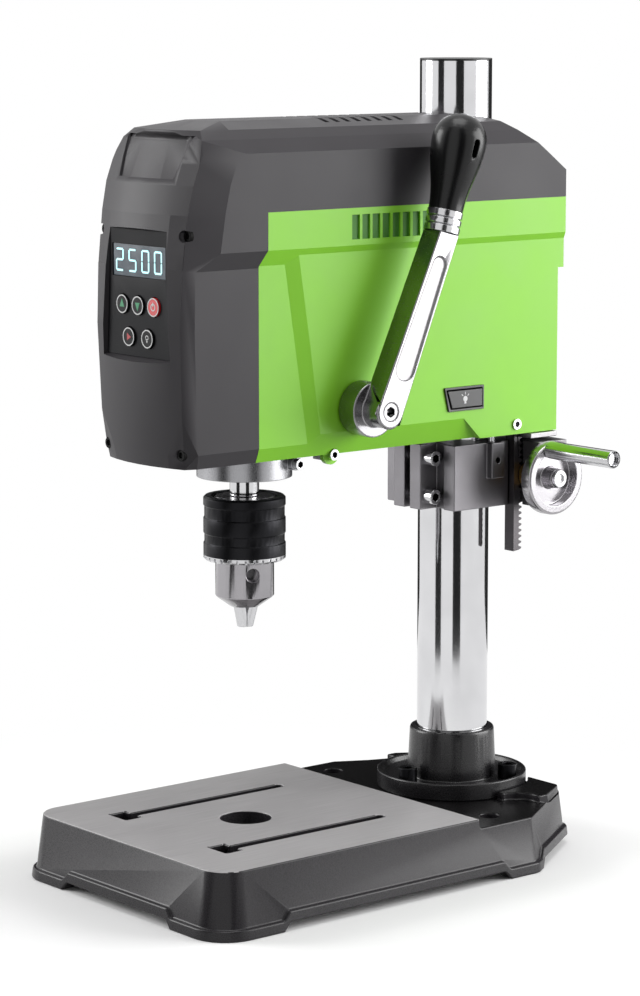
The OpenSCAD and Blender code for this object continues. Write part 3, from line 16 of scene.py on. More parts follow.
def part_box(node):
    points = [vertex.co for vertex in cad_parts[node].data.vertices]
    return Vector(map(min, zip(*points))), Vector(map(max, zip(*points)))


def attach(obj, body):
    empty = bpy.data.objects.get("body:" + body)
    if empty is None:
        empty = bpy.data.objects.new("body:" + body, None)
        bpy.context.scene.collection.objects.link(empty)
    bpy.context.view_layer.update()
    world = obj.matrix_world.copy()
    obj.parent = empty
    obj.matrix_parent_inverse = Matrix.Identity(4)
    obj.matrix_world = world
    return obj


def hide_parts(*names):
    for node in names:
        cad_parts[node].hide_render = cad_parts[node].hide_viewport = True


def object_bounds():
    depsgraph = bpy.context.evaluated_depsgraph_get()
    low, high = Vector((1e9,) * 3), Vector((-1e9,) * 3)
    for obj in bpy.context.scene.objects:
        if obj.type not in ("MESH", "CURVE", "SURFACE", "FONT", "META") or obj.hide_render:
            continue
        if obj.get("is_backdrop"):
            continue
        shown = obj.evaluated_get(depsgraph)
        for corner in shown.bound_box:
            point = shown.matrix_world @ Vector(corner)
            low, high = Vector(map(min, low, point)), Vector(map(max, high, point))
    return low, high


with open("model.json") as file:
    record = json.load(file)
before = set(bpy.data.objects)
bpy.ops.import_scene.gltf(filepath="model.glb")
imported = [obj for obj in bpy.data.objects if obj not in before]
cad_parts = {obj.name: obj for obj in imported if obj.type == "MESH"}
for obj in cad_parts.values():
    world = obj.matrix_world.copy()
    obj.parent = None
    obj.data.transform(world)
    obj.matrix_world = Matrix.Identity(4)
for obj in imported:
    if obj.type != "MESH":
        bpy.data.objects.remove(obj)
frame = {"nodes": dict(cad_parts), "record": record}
cad_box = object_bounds()
MM = 0.001
print("CAD box", cad_box)

# %% [markdown]
# The photograph was taken from the operator's right, a little above the table, with a long lens.
# A long lens far away keeps the column's sides almost parallel, which is what gives product
# pictures their calm look. The place and the angles below were fitted to the machine's own corners.

# %% The camera
TARGET = Vector((38.50, 18.03, 169.65)) * MM
BACK = Vector((0.76239, -0.62839, 0.15450))
RIGHT = Vector((0.63603, 0.77166, 0.0))
UP = Vector((-0.11922, 0.09827, 0.98799))
DISTANCE = 1613.04 * MM
camera_data = bpy.data.cameras.new("camera")
camera_data.sensor_fit = "VERTICAL"
camera_data.sensor_height = 36.0
camera_data.lens = 116.0
camera_data.clip_start = 0.05
camera_data.clip_end = 20.0
camera = bpy.data.objects.new("camera", camera_data)
camera.matrix_world = Matrix((
    (RIGHT.x, UP.x, BACK.x, TARGET.x + DISTANCE * BACK.x),
    (RIGHT.y, UP.y, BACK.y, TARGET.y + DISTANCE * BACK.y),
    (RIGHT.z, UP.z, BACK.z, TARGET.z + DISTANCE * BACK.z),
    (0, 0, 0, 1)))
bpy.context.scene.collection.objects.link(camera)
bpy.context.scene.camera = camera

# %% [markdown]
# A small white studio: a floor and a sky that are white to the camera and to reflections, but
# that light the machine only softly. The shaping comes from two large lamps that face each other
# across the machine, one at the right behind it and one at the left in front, so that every corner
# between a front and a side falls dark. Chrome shows whatever stands around it, so three dark cards
# stand round the machine, as a photographer would place them, to draw the column's dark lines.

# %% Two helpers: a colour and a node
scene = bpy.context.scene
scene.view_settings.view_transform = "Standard"
FLOOR_Z = cad_box[0][2]


def linear(hex_colour):
    """Turns an sRGB hex colour into the linear values that Blender works in."""
    values = [int(hex_colour[i:i + 2], 16) / 255 for i in (1, 3, 5)]
    return [v / 12.92 if v <= 0.04045 else ((v + 0.055) / 1.055) ** 2.4 for v in values] + [1.0]


def node(tree, kind, links=None, **settings):
    """Adds a node: settings are its properties, links its input sockets, as values or outputs."""
    made = tree.nodes.new(kind)
    for name, value in settings.items():
        setattr(made, name, value)
    for name, value in (links or {}).items():
        if isinstance(value, bpy.types.NodeSocket):
            tree.links.new(value, made.inputs[name])
        else:
            made.inputs[name].default_value = value
    return made


print("pure green in linear values", linear("#00FF00"))

# %% The sky
SKY_LIGHT = 0.36
world = bpy.data.worlds.new("studio")
scene.world = world
world.use_nodes = True
sky = world.node_tree
sky.nodes.clear()
path = node(sky, "ShaderNodeLightPath")
seen = node(sky, "ShaderNodeMath",
            {0: path.outputs["Is Camera Ray"], 1: path.outputs["Is Glossy Ray"]},
            operation="MAXIMUM")
seen_or_through = node(sky, "ShaderNodeMath",
                       {0: seen.outputs[0], 1: path.outputs["Is Transmission Ray"]},
                       operation="MAXIMUM")
soft = node(sky, "ShaderNodeBackground", {"Color": linear("#FFFFFF"), "Strength": SKY_LIGHT})
white = node(sky, "ShaderNodeBackground", {"Color": linear("#FFFFFF"), "Strength": 1.0})
mixed = node(sky, "ShaderNodeMixShader", {0: seen_or_through.outputs[0], 1: soft.outputs[0],
                                          2: white.outputs[0]})
node(sky, "ShaderNodeOutputWorld", {"Surface": mixed.outputs[0]})
print("sky of", len(sky.nodes), "nodes")

# %% The lamps
COLUMN_Y = 0.14
LAMPS_AIM = Vector((0.0, 0.06, 0.18))


def around(angle, reach, height=0.0):
    """A place round the column: 0 degrees is in front of it, 90 at the operator's right."""
    turn = math.radians(angle)
    return Vector((reach * math.sin(turn), COLUMN_Y - reach * math.cos(turn), height))


def lamp(name, place, size, tall, watts):
    """One soft area lamp, turned to face the machine."""
    data = bpy.data.lights.new(name, "AREA")
    data.shape = "RECTANGLE"
    data.size = size
    data.size_y = tall
    data.energy = watts
    made = bpy.data.objects.new(name, data)
    made.location = place
    made.rotation_euler = (LAMPS_AIM - place).to_track_quat("-Z", "Y").to_euler()
    scene.collection.objects.link(made)


lamp("right", around(140, 1.6, 0.55), 1.4, 1.4, 37)
lamp("left", around(-48, 1.7, 0.75), 0.8, 1.2, 20)
lamp("top", Vector((0.05, 0.1, 1.7)), 0.9, 0.9, 9)
print(len(bpy.data.lights), "lamps")

# %% [markdown]
# The floor is a sheet of pale paper. Near the machine it takes the real shadow, and further out it
# blends into pure white, so that no horizon shows. To light that bounces it is a mid grey, or it
# would fill the dark undersides from below.

# %% The floor
FLOOR_HALF = 6
SHADOW_FROM = 0.15
SHADOW_TO = 0.36


def plane(name, corners):
    """A flat sheet through its corners."""
    mesh = bpy.data.meshes.new(name)
    shape = bmesh.new()
    bmesh.ops.create_grid(shape, x_segments=1, y_segments=1, size=0.5)
    for vert, place in zip(sorted(shape.verts, key=lambda v: (v.co.y, v.co.x)), corners):
        vert.co = place
    shape.to_mesh(mesh)
    shape.free()
    made = bpy.data.objects.new(name, mesh)
    scene.collection.objects.link(made)
    return made


floor = plane("floor", [(-FLOOR_HALF, -FLOOR_HALF, FLOOR_Z), (FLOOR_HALF, -FLOOR_HALF, FLOOR_Z),
                        (-FLOOR_HALF, FLOOR_HALF, FLOOR_Z), (FLOOR_HALF, FLOOR_HALF, FLOOR_Z)])
floor_paint = bpy.data.materials.new("pale_floor")
floor_paint.use_nodes = True
tree = floor_paint.node_tree
paper = tree.nodes["Principled BSDF"]
paper.inputs["Roughness"].default_value = 0.85
paper.inputs["Specular IOR Level"].default_value = 0.1
place = node(tree, "ShaderNodeTexCoord")
flat = node(tree, "ShaderNodeVectorMath", {0: place.outputs["Object"], 1: (1, 1, 0)},
            operation="MULTIPLY")
far = node(tree, "ShaderNodeVectorMath", {0: flat.outputs[0]}, operation="LENGTH")
away = node(tree, "ShaderNodeMapRange",
            {"Value": far.outputs["Value"], "From Min": SHADOW_FROM, "From Max": SHADOW_TO},
            interpolation_type="SMOOTHSTEP")
path = node(tree, "ShaderNodeLightPath")
seen = node(tree, "ShaderNodeMath", {0: path.outputs["Is Camera Ray"],
                                     1: path.outputs["Is Glossy Ray"]}, operation="MAXIMUM")
bounce = node(tree, "ShaderNodeMix", {0: path.outputs["Is Diffuse Ray"]}, data_type="RGBA")
bounce.inputs[6].default_value = linear("#FDFDFD")
bounce.inputs[7].default_value = linear("#7C7C7C")
tree.links.new(bounce.outputs[2], paper.inputs["Base Color"])
share = node(tree, "ShaderNodeMath", {0: seen.outputs[0], 1: away.outputs[0]},
             operation="MULTIPLY")
white = node(tree, "ShaderNodeEmission", {"Color": linear("#FFFFFF"), "Strength": 1.0})
blend = node(tree, "ShaderNodeMixShader", {0: share.outputs[0], 1: paper.outputs[0],
                                           2: white.outputs[0]})
tree.links.new(blend.outputs[0], tree.nodes["Material Output"].inputs["Surface"])
floor.data.materials.append(floor_paint)
floor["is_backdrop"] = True
print("floor at", FLOOR_Z)

# %% [markdown]
# The dark cards are seen by reflections only, so they darken no wall and throw no shadow. A card's
# width sets how wide a dark line it draws on the column, and its angle sets where the line runs.

# %% The dark cards
CARD_REACH = 0.5
card_paint = bpy.data.materials.new("dark_card")
card_paint.use_nodes = True
card_paint.node_tree.nodes["Principled BSDF"].inputs["Base Color"].default_value = linear("#0C0C0D")
card_paint.node_tree.nodes["Principled BSDF"].inputs["Roughness"].default_value = 0.9


def card(name, angle, width, high):
    """A dark card standing round the machine at an angle, seen only in reflections."""
    foot = around(angle, CARD_REACH)
    side = (foot - around(angle, 0)).cross((0, 0, 1)) * width
    low = Vector((0, 0, FLOOR_Z))
    made = plane(name, [foot - side + low, foot + side + low,
                        foot - side + Vector((0, 0, high)), foot + side + Vector((0, 0, high))])
    made.data.materials.append(card_paint)
    made.visible_camera = False
    made.visible_diffuse = False
    made.visible_shadow = False
    made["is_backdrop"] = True


card("card_front", 0.6, 0.176, 1.0)
card("card_near", 61, 0.222, 1.0)
card("card_behind", 222, 1.1, 0.45)

# %% [markdown]
# Finishes. Each one starts from what the real surface is and how it was made. Patterns are in
# Object coordinates, which here are metres in the machine's own frame, so a grain can be given its
# real size in millimetres.

# %% A blank finish, and the grain that most of them share
NOISE_LOW = 0.3
NOISE_HIGH = 0.7


def finish(name, colour, metallic=0.0, roughness=0.5, **sockets):
    """A material with one Principled shader, and the sockets that are the same all over it."""
    made = bpy.data.materials.new(name)
    made.use_nodes = True
    shader = made.node_tree.nodes["Principled BSDF"]
    shader.inputs["Base Color"].default_value = linear(colour)
    shader.inputs["Metallic"].default_value = metallic
    shader.inputs["Roughness"].default_value = roughness
    for key, value in sockets.items():
        shader.inputs[key.replace("_", " ")].default_value = value
    return made, made.node_tree, shader


def grain(tree, size_mm, stretch=(1, 1, 1), detail=2.0):
    """Noise whose spots are about size_mm across, stretched along the object's axes."""
    place = node(tree, "ShaderNodeTexCoord")
    spread = node(tree, "ShaderNodeMapping", {"Vector": place.outputs["Object"],
                                              "Scale": [s / (size_mm * MM) for s in stretch]})
    return node(tree, "ShaderNodeTexNoise", {"Vector": spread.outputs[0], "Scale": 1.0,
                                             "Detail": detail})


def surface(tree, shader, tint, tints, gloss, glosses, height=None, depth_mm=0.0):
    """Lets one noise run the colour between two tints, one the gloss, and one the height."""
    share = node(tree, "ShaderNodeMapRange", {"Value": tint.outputs[0], "From Min": NOISE_LOW,
                                              "From Max": NOISE_HIGH})
    mix = node(tree, "ShaderNodeMix", {0: share.outputs[0]}, data_type="RGBA")
    mix.inputs[6].default_value = linear(tints[0])
    mix.inputs[7].default_value = linear(tints[1])
    tree.links.new(mix.outputs[2], shader.inputs["Base Color"])
    rough = node(tree, "ShaderNodeMapRange", {"Value": gloss.outputs[0], "From Min": NOISE_LOW,
                                              "From Max": NOISE_HIGH, "To Min": glosses[0],
                                              "To Max": glosses[1]})
    tree.links.new(rough.outputs[0], shader.inputs["Roughness"])
    if height:
        relief = node(tree, "ShaderNodeBump", {"Height": height.outputs[0], "Strength": 1.0,
                                               "Distance": depth_mm * MM})
        tree.links.new(relief.outputs[0], shader.inputs["Normal"])


print("noise from", NOISE_LOW, "to", NOISE_HIGH, "spans each pair of tints")

# %% [markdown]
# Injection-moulded ABS has a spark-eroded grain from its mould. Its spots are a few tenths of a
# millimetre across, too fine to see one by one, but they break up the highlights into a sheen. The
# knob is pressed phenolic, which is glossier, and the belt is dull rubber.

# %% Moulded plastics
def moulded(name, dark, light, roughness, grain_mm=0.5, depth_mm=0.012, **sockets):
    """Plastic with a fine mould grain and a slow drift in its gloss."""
    made, tree, shader = finish(name, dark, roughness=roughness, IOR=1.53, **sockets)
    slow = grain(tree, 35.0)
    surface(tree, shader, slow, (dark, light), slow, (roughness - 0.04, roughness + 0.04),
            grain(tree, grain_mm), depth_mm)
    return made


green_abs = moulded("green_abs", "#86D027", "#8CD72D", 0.42, Specular_IOR_Level=0.4)
# vent_painted_shade is the covers' green darkened: painted shade for the inside of the vents.
vent_painted_shade = moulded("vent_painted_shade", "#3F7A24", "#458228", 0.6)
dark_abs = moulded("dark_abs", "#39373A", "#3D3B3E", 0.42, Specular_IOR_Level=0.22)
black_abs = moulded("black_abs", "#161618", "#1A1A1C", 0.32)
knob_bakelite = moulded("knob_bakelite", "#0E0E0F", "#121213", 0.26, 1.5, 0.004,
                        Specular_IOR_Level=0.3)
panel_black = moulded("panel_black", "#131316", "#17171A", 0.5, Specular_IOR_Level=0.1)
belt_rubber = moulded("belt_rubber", "#1A1A1A", "#202020", 0.7)
print(len(bpy.data.materials), "materials so far")

# %% [markdown]
# Metals. Chromed tube is polished first, so only a faint haze is left. Satin aluminium is milled
# and tumbled, machined steel keeps turning marks, and blackened steel is dull and oily.

# %% Metals
def metal(name, dark, light, roughness, grain_mm=0.3, stretch=(1, 1, 1), depth_mm=0.004):
    """Bare metal: its grain colours it a little and scatters its highlight."""
    made, tree, shader = finish(name, dark, metallic=1.0, roughness=roughness)
    marks = grain(tree, grain_mm, stretch)
    surface(tree, shader, grain(tree, 25.0), (dark, light), marks,
            (roughness * 0.85, roughness * 1.15), marks, depth_mm)
    return made


chrome_plate = metal("chrome_plate", "#D4D4D6", "#DEDEE0", 0.09, 4.0, (1, 1, 0.2), 0.0)
polished_steel = metal("polished_steel", "#C4C4C6", "#D2D2D4", 0.17, 1.0)
satin_aluminium = metal("satin_aluminium", "#8C8A8C", "#989698", 0.36, 0.4, (1, 1, 3), 0.003)
# clamp_aluminium_shaded is the housing's aluminium, rougher and darker: its darker colour is painted
# shade for the clamp's side.
clamp_aluminium_shaded = metal("clamp_aluminium_shaded", "#747275", "#807E81", 0.42, 0.5, (1, 1, 1), 0.006)
machined_steel = metal("machined_steel", "#9C9C9F", "#A9A9AC", 0.3, 0.5)
chuck_steel = metal("chuck_steel", "#9B999C", "#A9A7AA", 0.2, 0.6)
rack_steel = metal("rack_steel", "#504E50", "#5C595B", 0.4, 0.6)
lever_chrome = metal("lever_chrome", "#8E8D8F", "#989799", 0.24, 0.8)
wheel_steel = metal("wheel_steel", "#A09EA1", "#ACAAAD", 0.24, 0.8)
black_oxide = metal("black_oxide", "#1D1D1F", "#262628", 0.36, 0.6, (1, 1, 1), 0.003)
bronze = metal("bronze", "#B08A4C", "#BC9656", 0.28, 0.5)
# black_steel_and_socket_shade is real blackened steel on the lug screw, and painted shade in the
# hexagons of the bright screws.
black_steel_and_socket_shade = metal("black_steel_and_socket_shade", "#151516", "#1B1B1C", 0.4, 0.5)
print(len(bpy.data.materials), "materials so far")

# %% [markdown]
# The base is sand-cast iron under a dark enamel, so its sides roll softly and shine in patches. The
# flange on it has the same enamel in black. The table is ground bare after painting: the
# grinding wheel leaves fine straight lines along its length and a light, even grey.

# %% Cast iron, painted and ground
def enamel(name, dark, light, roughness, **sockets):
    """Sprayed enamel over sand-cast iron: orange peel a few millimetres across over slow waves."""
    made, tree, shader = finish(name, dark, roughness=roughness, IOR=1.5, **sockets)
    surface(tree, shader, grain(tree, 30.0), (dark, light), grain(tree, 0.5, detail=3.0),
            (roughness - 0.05, roughness + 0.07), grain(tree, 1.6, detail=1.0), 0.02)
    return made


base_enamel = enamel("base_enamel", "#252326", "#2B292C", 0.27, Specular_IOR_Level=0.32)
flange_enamel = enamel("flange_enamel", "#19181A", "#1E1D1F", 0.27)
# ledge_painted_shade is near-black enamel: painted shade for the ledge, which the head keeps in the
# dark.
ledge_painted_shade = enamel("ledge_painted_shade", "#0A090A", "#0F0E0F", 0.3, Specular_IOR_Level=0.15)
motor_enamel = enamel("motor_enamel", "#6C6E73", "#74767B", 0.4)
ground_iron, tree, shader = finish("ground_iron", "#A19E9F", metallic=0.15, roughness=0.5)
lines = grain(tree, 0.6, (1, 0.02, 1), 3.0)
surface(tree, shader, lines, ("#9F9D9E", "#AFADAE"), grain(tree, 40.0), (0.44, 0.56), lines, 0.006)
print(len(bpy.data.materials), "materials so far")

# %% [markdown]
# The panel has small glossy and glowing parts: a tinted window over pale blue digits, rubbery
# domes with a printed mark, and thin printed rings. They get plain materials with one note each.

# %% Panel finishes
window, tree, shader = finish("tinted_window", "#46535E", roughness=0.12, IOR=1.49)
haze = grain(tree, 6.0)
surface(tree, shader, haze, ("#45525D", "#4A5762"), haze, (0.1, 0.16))


def glowing(name, colour, strength):
    """A lit segment: bright by itself, a little uneven like a diffuser."""
    made, tree, shader = finish(name, colour, roughness=0.4)
    patch = grain(tree, 2.0)
    shader.inputs["Emission Color"].default_value = linear(colour)
    uneven = node(tree, "ShaderNodeMapRange", {"Value": patch.outputs[0], "From Min": NOISE_LOW,
                                               "From Max": NOISE_HIGH, "To Min": strength * 0.92,
                                               "To Max": strength * 1.08})
    tree.links.new(uneven.outputs[0], shader.inputs["Emission Strength"])
    return made


digit_glow = glowing("digit_glow", "#BFF4F8", 0.8)
lamp_glow = glowing("lamp_window", "#F2F4F4", 0.2)
print_white = moulded("print_white", "#DADADA", "#E2E2E2", 0.5)
print_green = moulded("print_green", "#1C8C5A", "#21955F", 0.45)
print_red = moulded("print_red", "#B4222A", "#BC272E", 0.45)
button_red = moulded("button_red", "#D8242C", "#DF2A32", 0.35)
button_dark = moulded("button_dark", "#161618", "#1A1A1C", 0.4, Specular_IOR_Level=0.12)
# hole_shade_black paints the fascia's screws flat near black: painted shade for the holes they sit in.
hole_shade_black = moulded("hole_shade_black", "#0B0B0B", "#0E0E0E", 0.6, Specular_IOR_Level=0.1)
board_lacquer = moulded("board_lacquer", "#1C6B3C", "#207342", 0.35)
print(len(bpy.data.materials), "materials in all")

# %% [markdown]
# CAD solids have razor edges, and nothing moulded, cast or turned does. Each visible node gets a
# copy whose edges are rounded by the Bevel modifier, with its normals hardened so that flat faces
# stay flat. The copy is cleaned first: doubles are merged, and the triangles of a flat face are
# dissolved back into one face, so that the bevel finds only real edges. A large face with holes can
# be drawn wrongly once it is whole, which shows in its area, and such a copy keeps its triangles.

# %% A clean copy of a CAD node
SAME_PLACE = 0.03 * MM
FLAT_WITHIN = math.radians(0.6)
WHOLE_WITHIN = 0.0005


def drawn_area(shape):
    """The area of the triangles that a bmesh is drawn with."""
    return sum(area_tri(*(loop.vert.co for loop in corners))
               for corners in shape.calc_loop_triangles())


def clean_copy(source):
    """A bmesh copy of a CAD node with its doubles merged and, where it draws well, flat faces whole."""
    shape = bmesh.new()
    shape.from_mesh(frame["nodes"][source].data)
    bmesh.ops.remove_doubles(shape, verts=shape.verts, dist=SAME_PLACE)
    whole = shape.copy()
    bmesh.ops.dissolve_limit(whole, angle_limit=FLAT_WITHIN, verts=whole.verts,
                             edges=whole.edges, delimit=set())
    if abs(drawn_area(whole) / drawn_area(shape) - 1) < WHOLE_WITHIN:
        return whole
    print(source, "keeps its triangles")
    return shape


print("doubles merge within", SAME_PLACE / MM, "mm")


# %% A piece on its body
def piece(name, shape, body, paints, standing_for=(), slot=None):
    """Turns a bmesh into an object that rides on a body."""
    mesh = bpy.data.meshes.new(name)
    shape.to_mesh(mesh)
    shape.free()
    for paint in paints:
        mesh.materials.append(paint)
    made = bpy.data.objects.new(name, mesh)
    scene.collection.objects.link(made)
    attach(made, body)
    if standing_for:
        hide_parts(*standing_for)
    return made


bodies_of = {n: b for b, ns in frame["record"]["behaviour"]["bodies"].items() for n in ns}
slots_of = {s["node"]: s["material_slot"] for s in frame["record"]["subparts"]}


# %% Rounding the edges
SHARP_FROM = math.radians(30)
ROUND_FROM = math.radians(35)
CREASE_FROM = math.radians(7)
BROAD_FACE = 70 * MM * MM


def crease(shape):
    """Marks the edges where two broad flat faces meet at a slight angle, so that they stay crisp."""
    for edge in shape.edges:
        if len(edge.link_faces) == 2 and edge.calc_face_angle() > CREASE_FROM:
            if min(f.calc_area() for f in edge.link_faces) > BROAD_FACE:
                edge.smooth = False


def rounded(made, width_mm, segments=2):
    """Rounds the edges sharper than ROUND_FROM and smooths what is flatter than SHARP_FROM."""
    kept = [edge.index for edge in made.data.edges if edge.use_edge_sharp]
    made.data.shade_smooth()
    made.data.set_sharp_from_angle(angle=SHARP_FROM)
    for index in kept:
        made.data.edges[index].use_edge_sharp = True
    if width_mm:
        bevel = made.modifiers.new("edges", "BEVEL")
        bevel.width = width_mm * MM
        bevel.segments = segments
        bevel.limit_method = "ANGLE"
        bevel.angle_limit = ROUND_FROM
        bevel.use_clamp_overlap = False
        bevel.loop_slide = False
        bevel.harden_normals = True
        bevel.miter_outer = "MITER_ARC"
    return made


print("edges over", round(math.degrees(ROUND_FROM)), "degrees are rounded")

# %% [markdown]
# Most nodes need one finish and one edge width. The widths, in millimetres, follow how each piece
# was made: a casting or a moulding has a soft edge, a turned piece a crisp one, and gear teeth
# almost none. The tube and the coiled spring have no edge that shows, so they get no rounding.

# %% Dress the plain pieces
WIDE_EDGE = 0.6


def dress(source, paint, width_mm):
    """A rounded copy stands for the node; a wide edge gets one segment more."""
    made = piece(source + "_dressed", clean_copy(source), bodies_of[source], [paint], [source],
                 slots_of[source])
    rounded(made, width_mm, 3 if width_mm > WIDE_EDGE else 2)


plain = {
    "column_flange": (flange_enamel, 0.8), "flange_screws": (black_oxide, 0.4),
    "column": (chrome_plate, 0), "column_cap": (black_abs, 0.3),
    # the clamp's darker aluminium is partly painted shade
    "clamp_block": (clamp_aluminium_shaded, 0.5),
    "lug_screw": (black_steel_and_socket_shade, 0.1), "guide_rod": (polished_steel, 0.2),
    "pinion_bush": (bronze, 0.2), "crank_pinion": (machined_steel, 0.05),
    "crank_wheel": (wheel_steel, 0.5), "crank_screw": (polished_steel, 0.3),
    "grip_pin": (polished_steel, 0.2), "crank_grip": (polished_steel, 0.6),
    "head_frame": (satin_aluminium, 0.4), "nose_collar": (machined_steel, 0.4),
    # the fascia's screws carry painted shade for their holes
    "lift_rack": (rack_steel, 0.08), "fascia_screws": (hole_shade_black, 0.2),
    "display_panel": (panel_black, 0.2), "display_lens": (window, 0.1),
    "control_board": (board_lacquer, 0), "motor": (motor_enamel, 0.6),
    "drive_belt": (belt_rubber, 0.2), "pulley_bearing": (machined_steel, 0.2),
    "rocker_bezel": (black_abs, 0.25), "spring_cap": (black_abs, 1.2),
    "return_spring": (machined_steel, 0), "work_light": (lamp_glow, 0.4),
    "cable_gland": (black_abs, 0.3), "feed_pinion": (machined_steel, 0.05),
    "lever_collar": (polished_steel, 0.15), "lever_knob": (knob_bakelite, 0.5),
    "quill": (polished_steel, 0.3), "quill_rack": (machined_steel, 0.05),
    "quill_bearings": (machined_steel, 0.2), "spindle": (chrome_plate, 0.3),
    "chuck_body": (chuck_steel, 0.3),
    "jaw_1": (polished_steel, 0.15), "jaw_2": (polished_steel, 0.15),
    "jaw_3": (polished_steel, 0.15), "spindle_pulley": (satin_aluminium, 0.2),
    "motor_shaft": (machined_steel, 0.2), "motor_pulley": (satin_aluminium, 0.2),
    "button_up": (button_dark, 0.4), "button_down": (button_dark, 0.4),
    "button_power": (button_red, 0.4), "button_start": (button_dark, 0.4),
    "button_lamp": (button_dark, 0.4), "lamp_rocker": (black_abs, 0.3),
}
for source, (paint, width_mm) in plain.items():
    dress(source, paint, width_mm)
print(len(plain), "nodes dressed")

# %% [markdown]
# The covers and the nose are moulded with broad flat facets: the folded chamfer, the sloping front
# wall and the swelling hood. A smooth shade would wash them into each other, so the line between
# two broad faces is marked sharp. Their large faces end in long slivers that a bevel would tear, so
# these four shells keep crisp edges, and a Weighted Normal modifier lets the broad faces set the
# shading of what joins them.

# %% The covers, the nose and the hood
for source, paint in (("right_cover", green_abs), ("left_cover", green_abs),
                      ("front_fascia", dark_abs), ("top_hood", dark_abs)):
    shape = clean_copy(source)
    crease(shape)
    made = piece(source + "_dressed", shape, bodies_of[source], [paint], [source], slots_of[source])
    rounded(made, 0)
    flat_light = made.modifiers.new("flat_light", "WEIGHTED_NORMAL")
    flat_light.keep_sharp = True
    print(made.name, len(made.data.polygons), "faces")

# %% [markdown]
# A socket screw's hexagon is dark inside, because little light comes back out of it, and that dark eye
# in a bright head is what tells the eye that it is a screw. The sunk faces near each screw's axis are
# painted near black as a second material: painted shade for that dark hexagon.

# %% Screws with dark sockets
SUNK_FROM = 0.2 * MM
SUNK_TO = 5 * MM
FACES_DOWN = -0.5


def islands(shape):
    """The separate shells of a bmesh, each as a list of faces."""
    left = set(shape.faces)
    while left:
        shell = []
        waiting = [left.pop()]
        while waiting:
            face = waiting.pop()
            shell.append(face)
            for near in {f for e in face.edges for f in e.link_faces} & left:
                left.remove(near)
                waiting.append(near)
        yield shell


def dark_eyes(source, radius_mm, paint, width_mm):
    """Paints shade into the hexagon of each screw of a node, whose heads look to the operator's right.
    """
    shape = clean_copy(source)
    for shell in islands(shape):
        spots = [v.co for f in shell for v in f.verts]
        mid_y, mid_z = ((min(p[i] for p in spots) + max(p[i] for p in spots)) / 2 for i in (1, 2))
        top = max(p.x for p in spots)
        for face in shell:
            at = face.calc_center_median()
            inside = math.hypot(at.y - mid_y, at.z - mid_z) < radius_mm * MM
            if inside and SUNK_FROM < top - at.x < SUNK_TO and face.normal.x > FACES_DOWN:
                face.material_index = 1
    made = piece(source + "_dressed", shape, bodies_of[source], [paint, black_steel_and_socket_shade], [source],
                 slots_of[source])
    rounded(made, width_mm)
    print(source, sum(p.material_index for p in made.data.polygons), "dark faces")


dark_eyes("socket_screws", 1.6, polished_steel, 0.2)
dark_eyes("cover_screws", 1.6, polished_steel, 0.15)
dark_eyes("pinch_screws", 2.6, polished_steel, 0.25)
dark_eyes("lever_screw", 2.4, lever_chrome, 0.3)

# %% [markdown]
# The feed lever is a chromed casting. Its broad front is polished bright, and the long sunk panel
# in it is left a shade duller, which draws the panel's outline. The chuck's sleeve is blackened and
# knurled, but its lowest rim, where the key's teeth run, is left bright steel.

# %% The feed lever
PANEL_SUNK_FROM = 0.5 * MM
PANEL_SUNK_TO = 1.5 * MM
shape = clean_copy("feed_lever")
front = max(v.co.x for v in shape.verts)
for face in shape.faces:
    sunk = front - face.calc_center_median().x
    if face.normal.x > 0.99 and PANEL_SUNK_FROM < sunk < PANEL_SUNK_TO:
        face.material_index = 1
made = piece("feed_lever_dressed", shape, bodies_of["feed_lever"], [lever_chrome, satin_aluminium],
             ["feed_lever"], slots_of["feed_lever"])
rounded(made, 0.7, 3)
print("sunk panel faces", sum(p.material_index for p in made.data.polygons))

# %% The chuck's sleeve
RIM_UP = 2.7 * MM
shape = clean_copy("chuck_sleeve")
rim_z = min(v.co.z for v in shape.verts) + RIM_UP
bmesh.ops.bisect_plane(shape, geom=shape.verts[:] + shape.edges[:] + shape.faces[:],
                       plane_co=(0, 0, rim_z), plane_no=(0, 0, 1))
for face in shape.faces:
    if face.calc_center_median().z < rim_z:
        face.material_index = 1
made = piece("chuck_sleeve_dressed", shape, bodies_of["chuck_sleeve"], [black_oxide, polished_steel],
             ["chuck_sleeve"], slots_of["chuck_sleeve"])
rounded(made, 0.15)
print("bright rim up to", rim_z)

# %% [markdown]
# The base takes three materials: enamel all over, bare ground iron on the table, and near-black painted
# shade on the ledge behind it, which the head keeps in the dark. The faces of the table are the only
# ones that look straight up at height zero, and the ledge's lie just under them, so they are picked by
# that.

# %% The base
LEDGE_DROP = 6 * MM
LEVEL_WITHIN = 0.02 * MM
shape = clean_copy("base_casting")
for face in shape.faces:
    level = face.calc_center_median().z
    if face.normal.z > 0.999 and level > -LEDGE_DROP:
        face.material_index = 1 if abs(level) < LEVEL_WITHIN else 2
base = piece("base_dressed", shape, "base", [base_enamel, ground_iron, ledge_painted_shade],
             ["base_casting"], "cast_paint")
rounded(base, 0.9, 3)
print("faces by finish", [sum(p.material_index == i for p in base.data.polygons) for i in range(3)])

# %% [markdown]
# The slots of the vents look dark green inside, not open, because little light gets into them. A thin
# plate with softened edges, in a darker green than the covers, stands just inside them on both sides of
# the head: it is painted shade for the inside of the vents.

# %% The painted shade behind the vents
VENT_LOW = Vector((36.0, 35.0, 296.5)) * MM
VENT_HIGH = Vector((38.0, 109.0, 312.5)) * MM


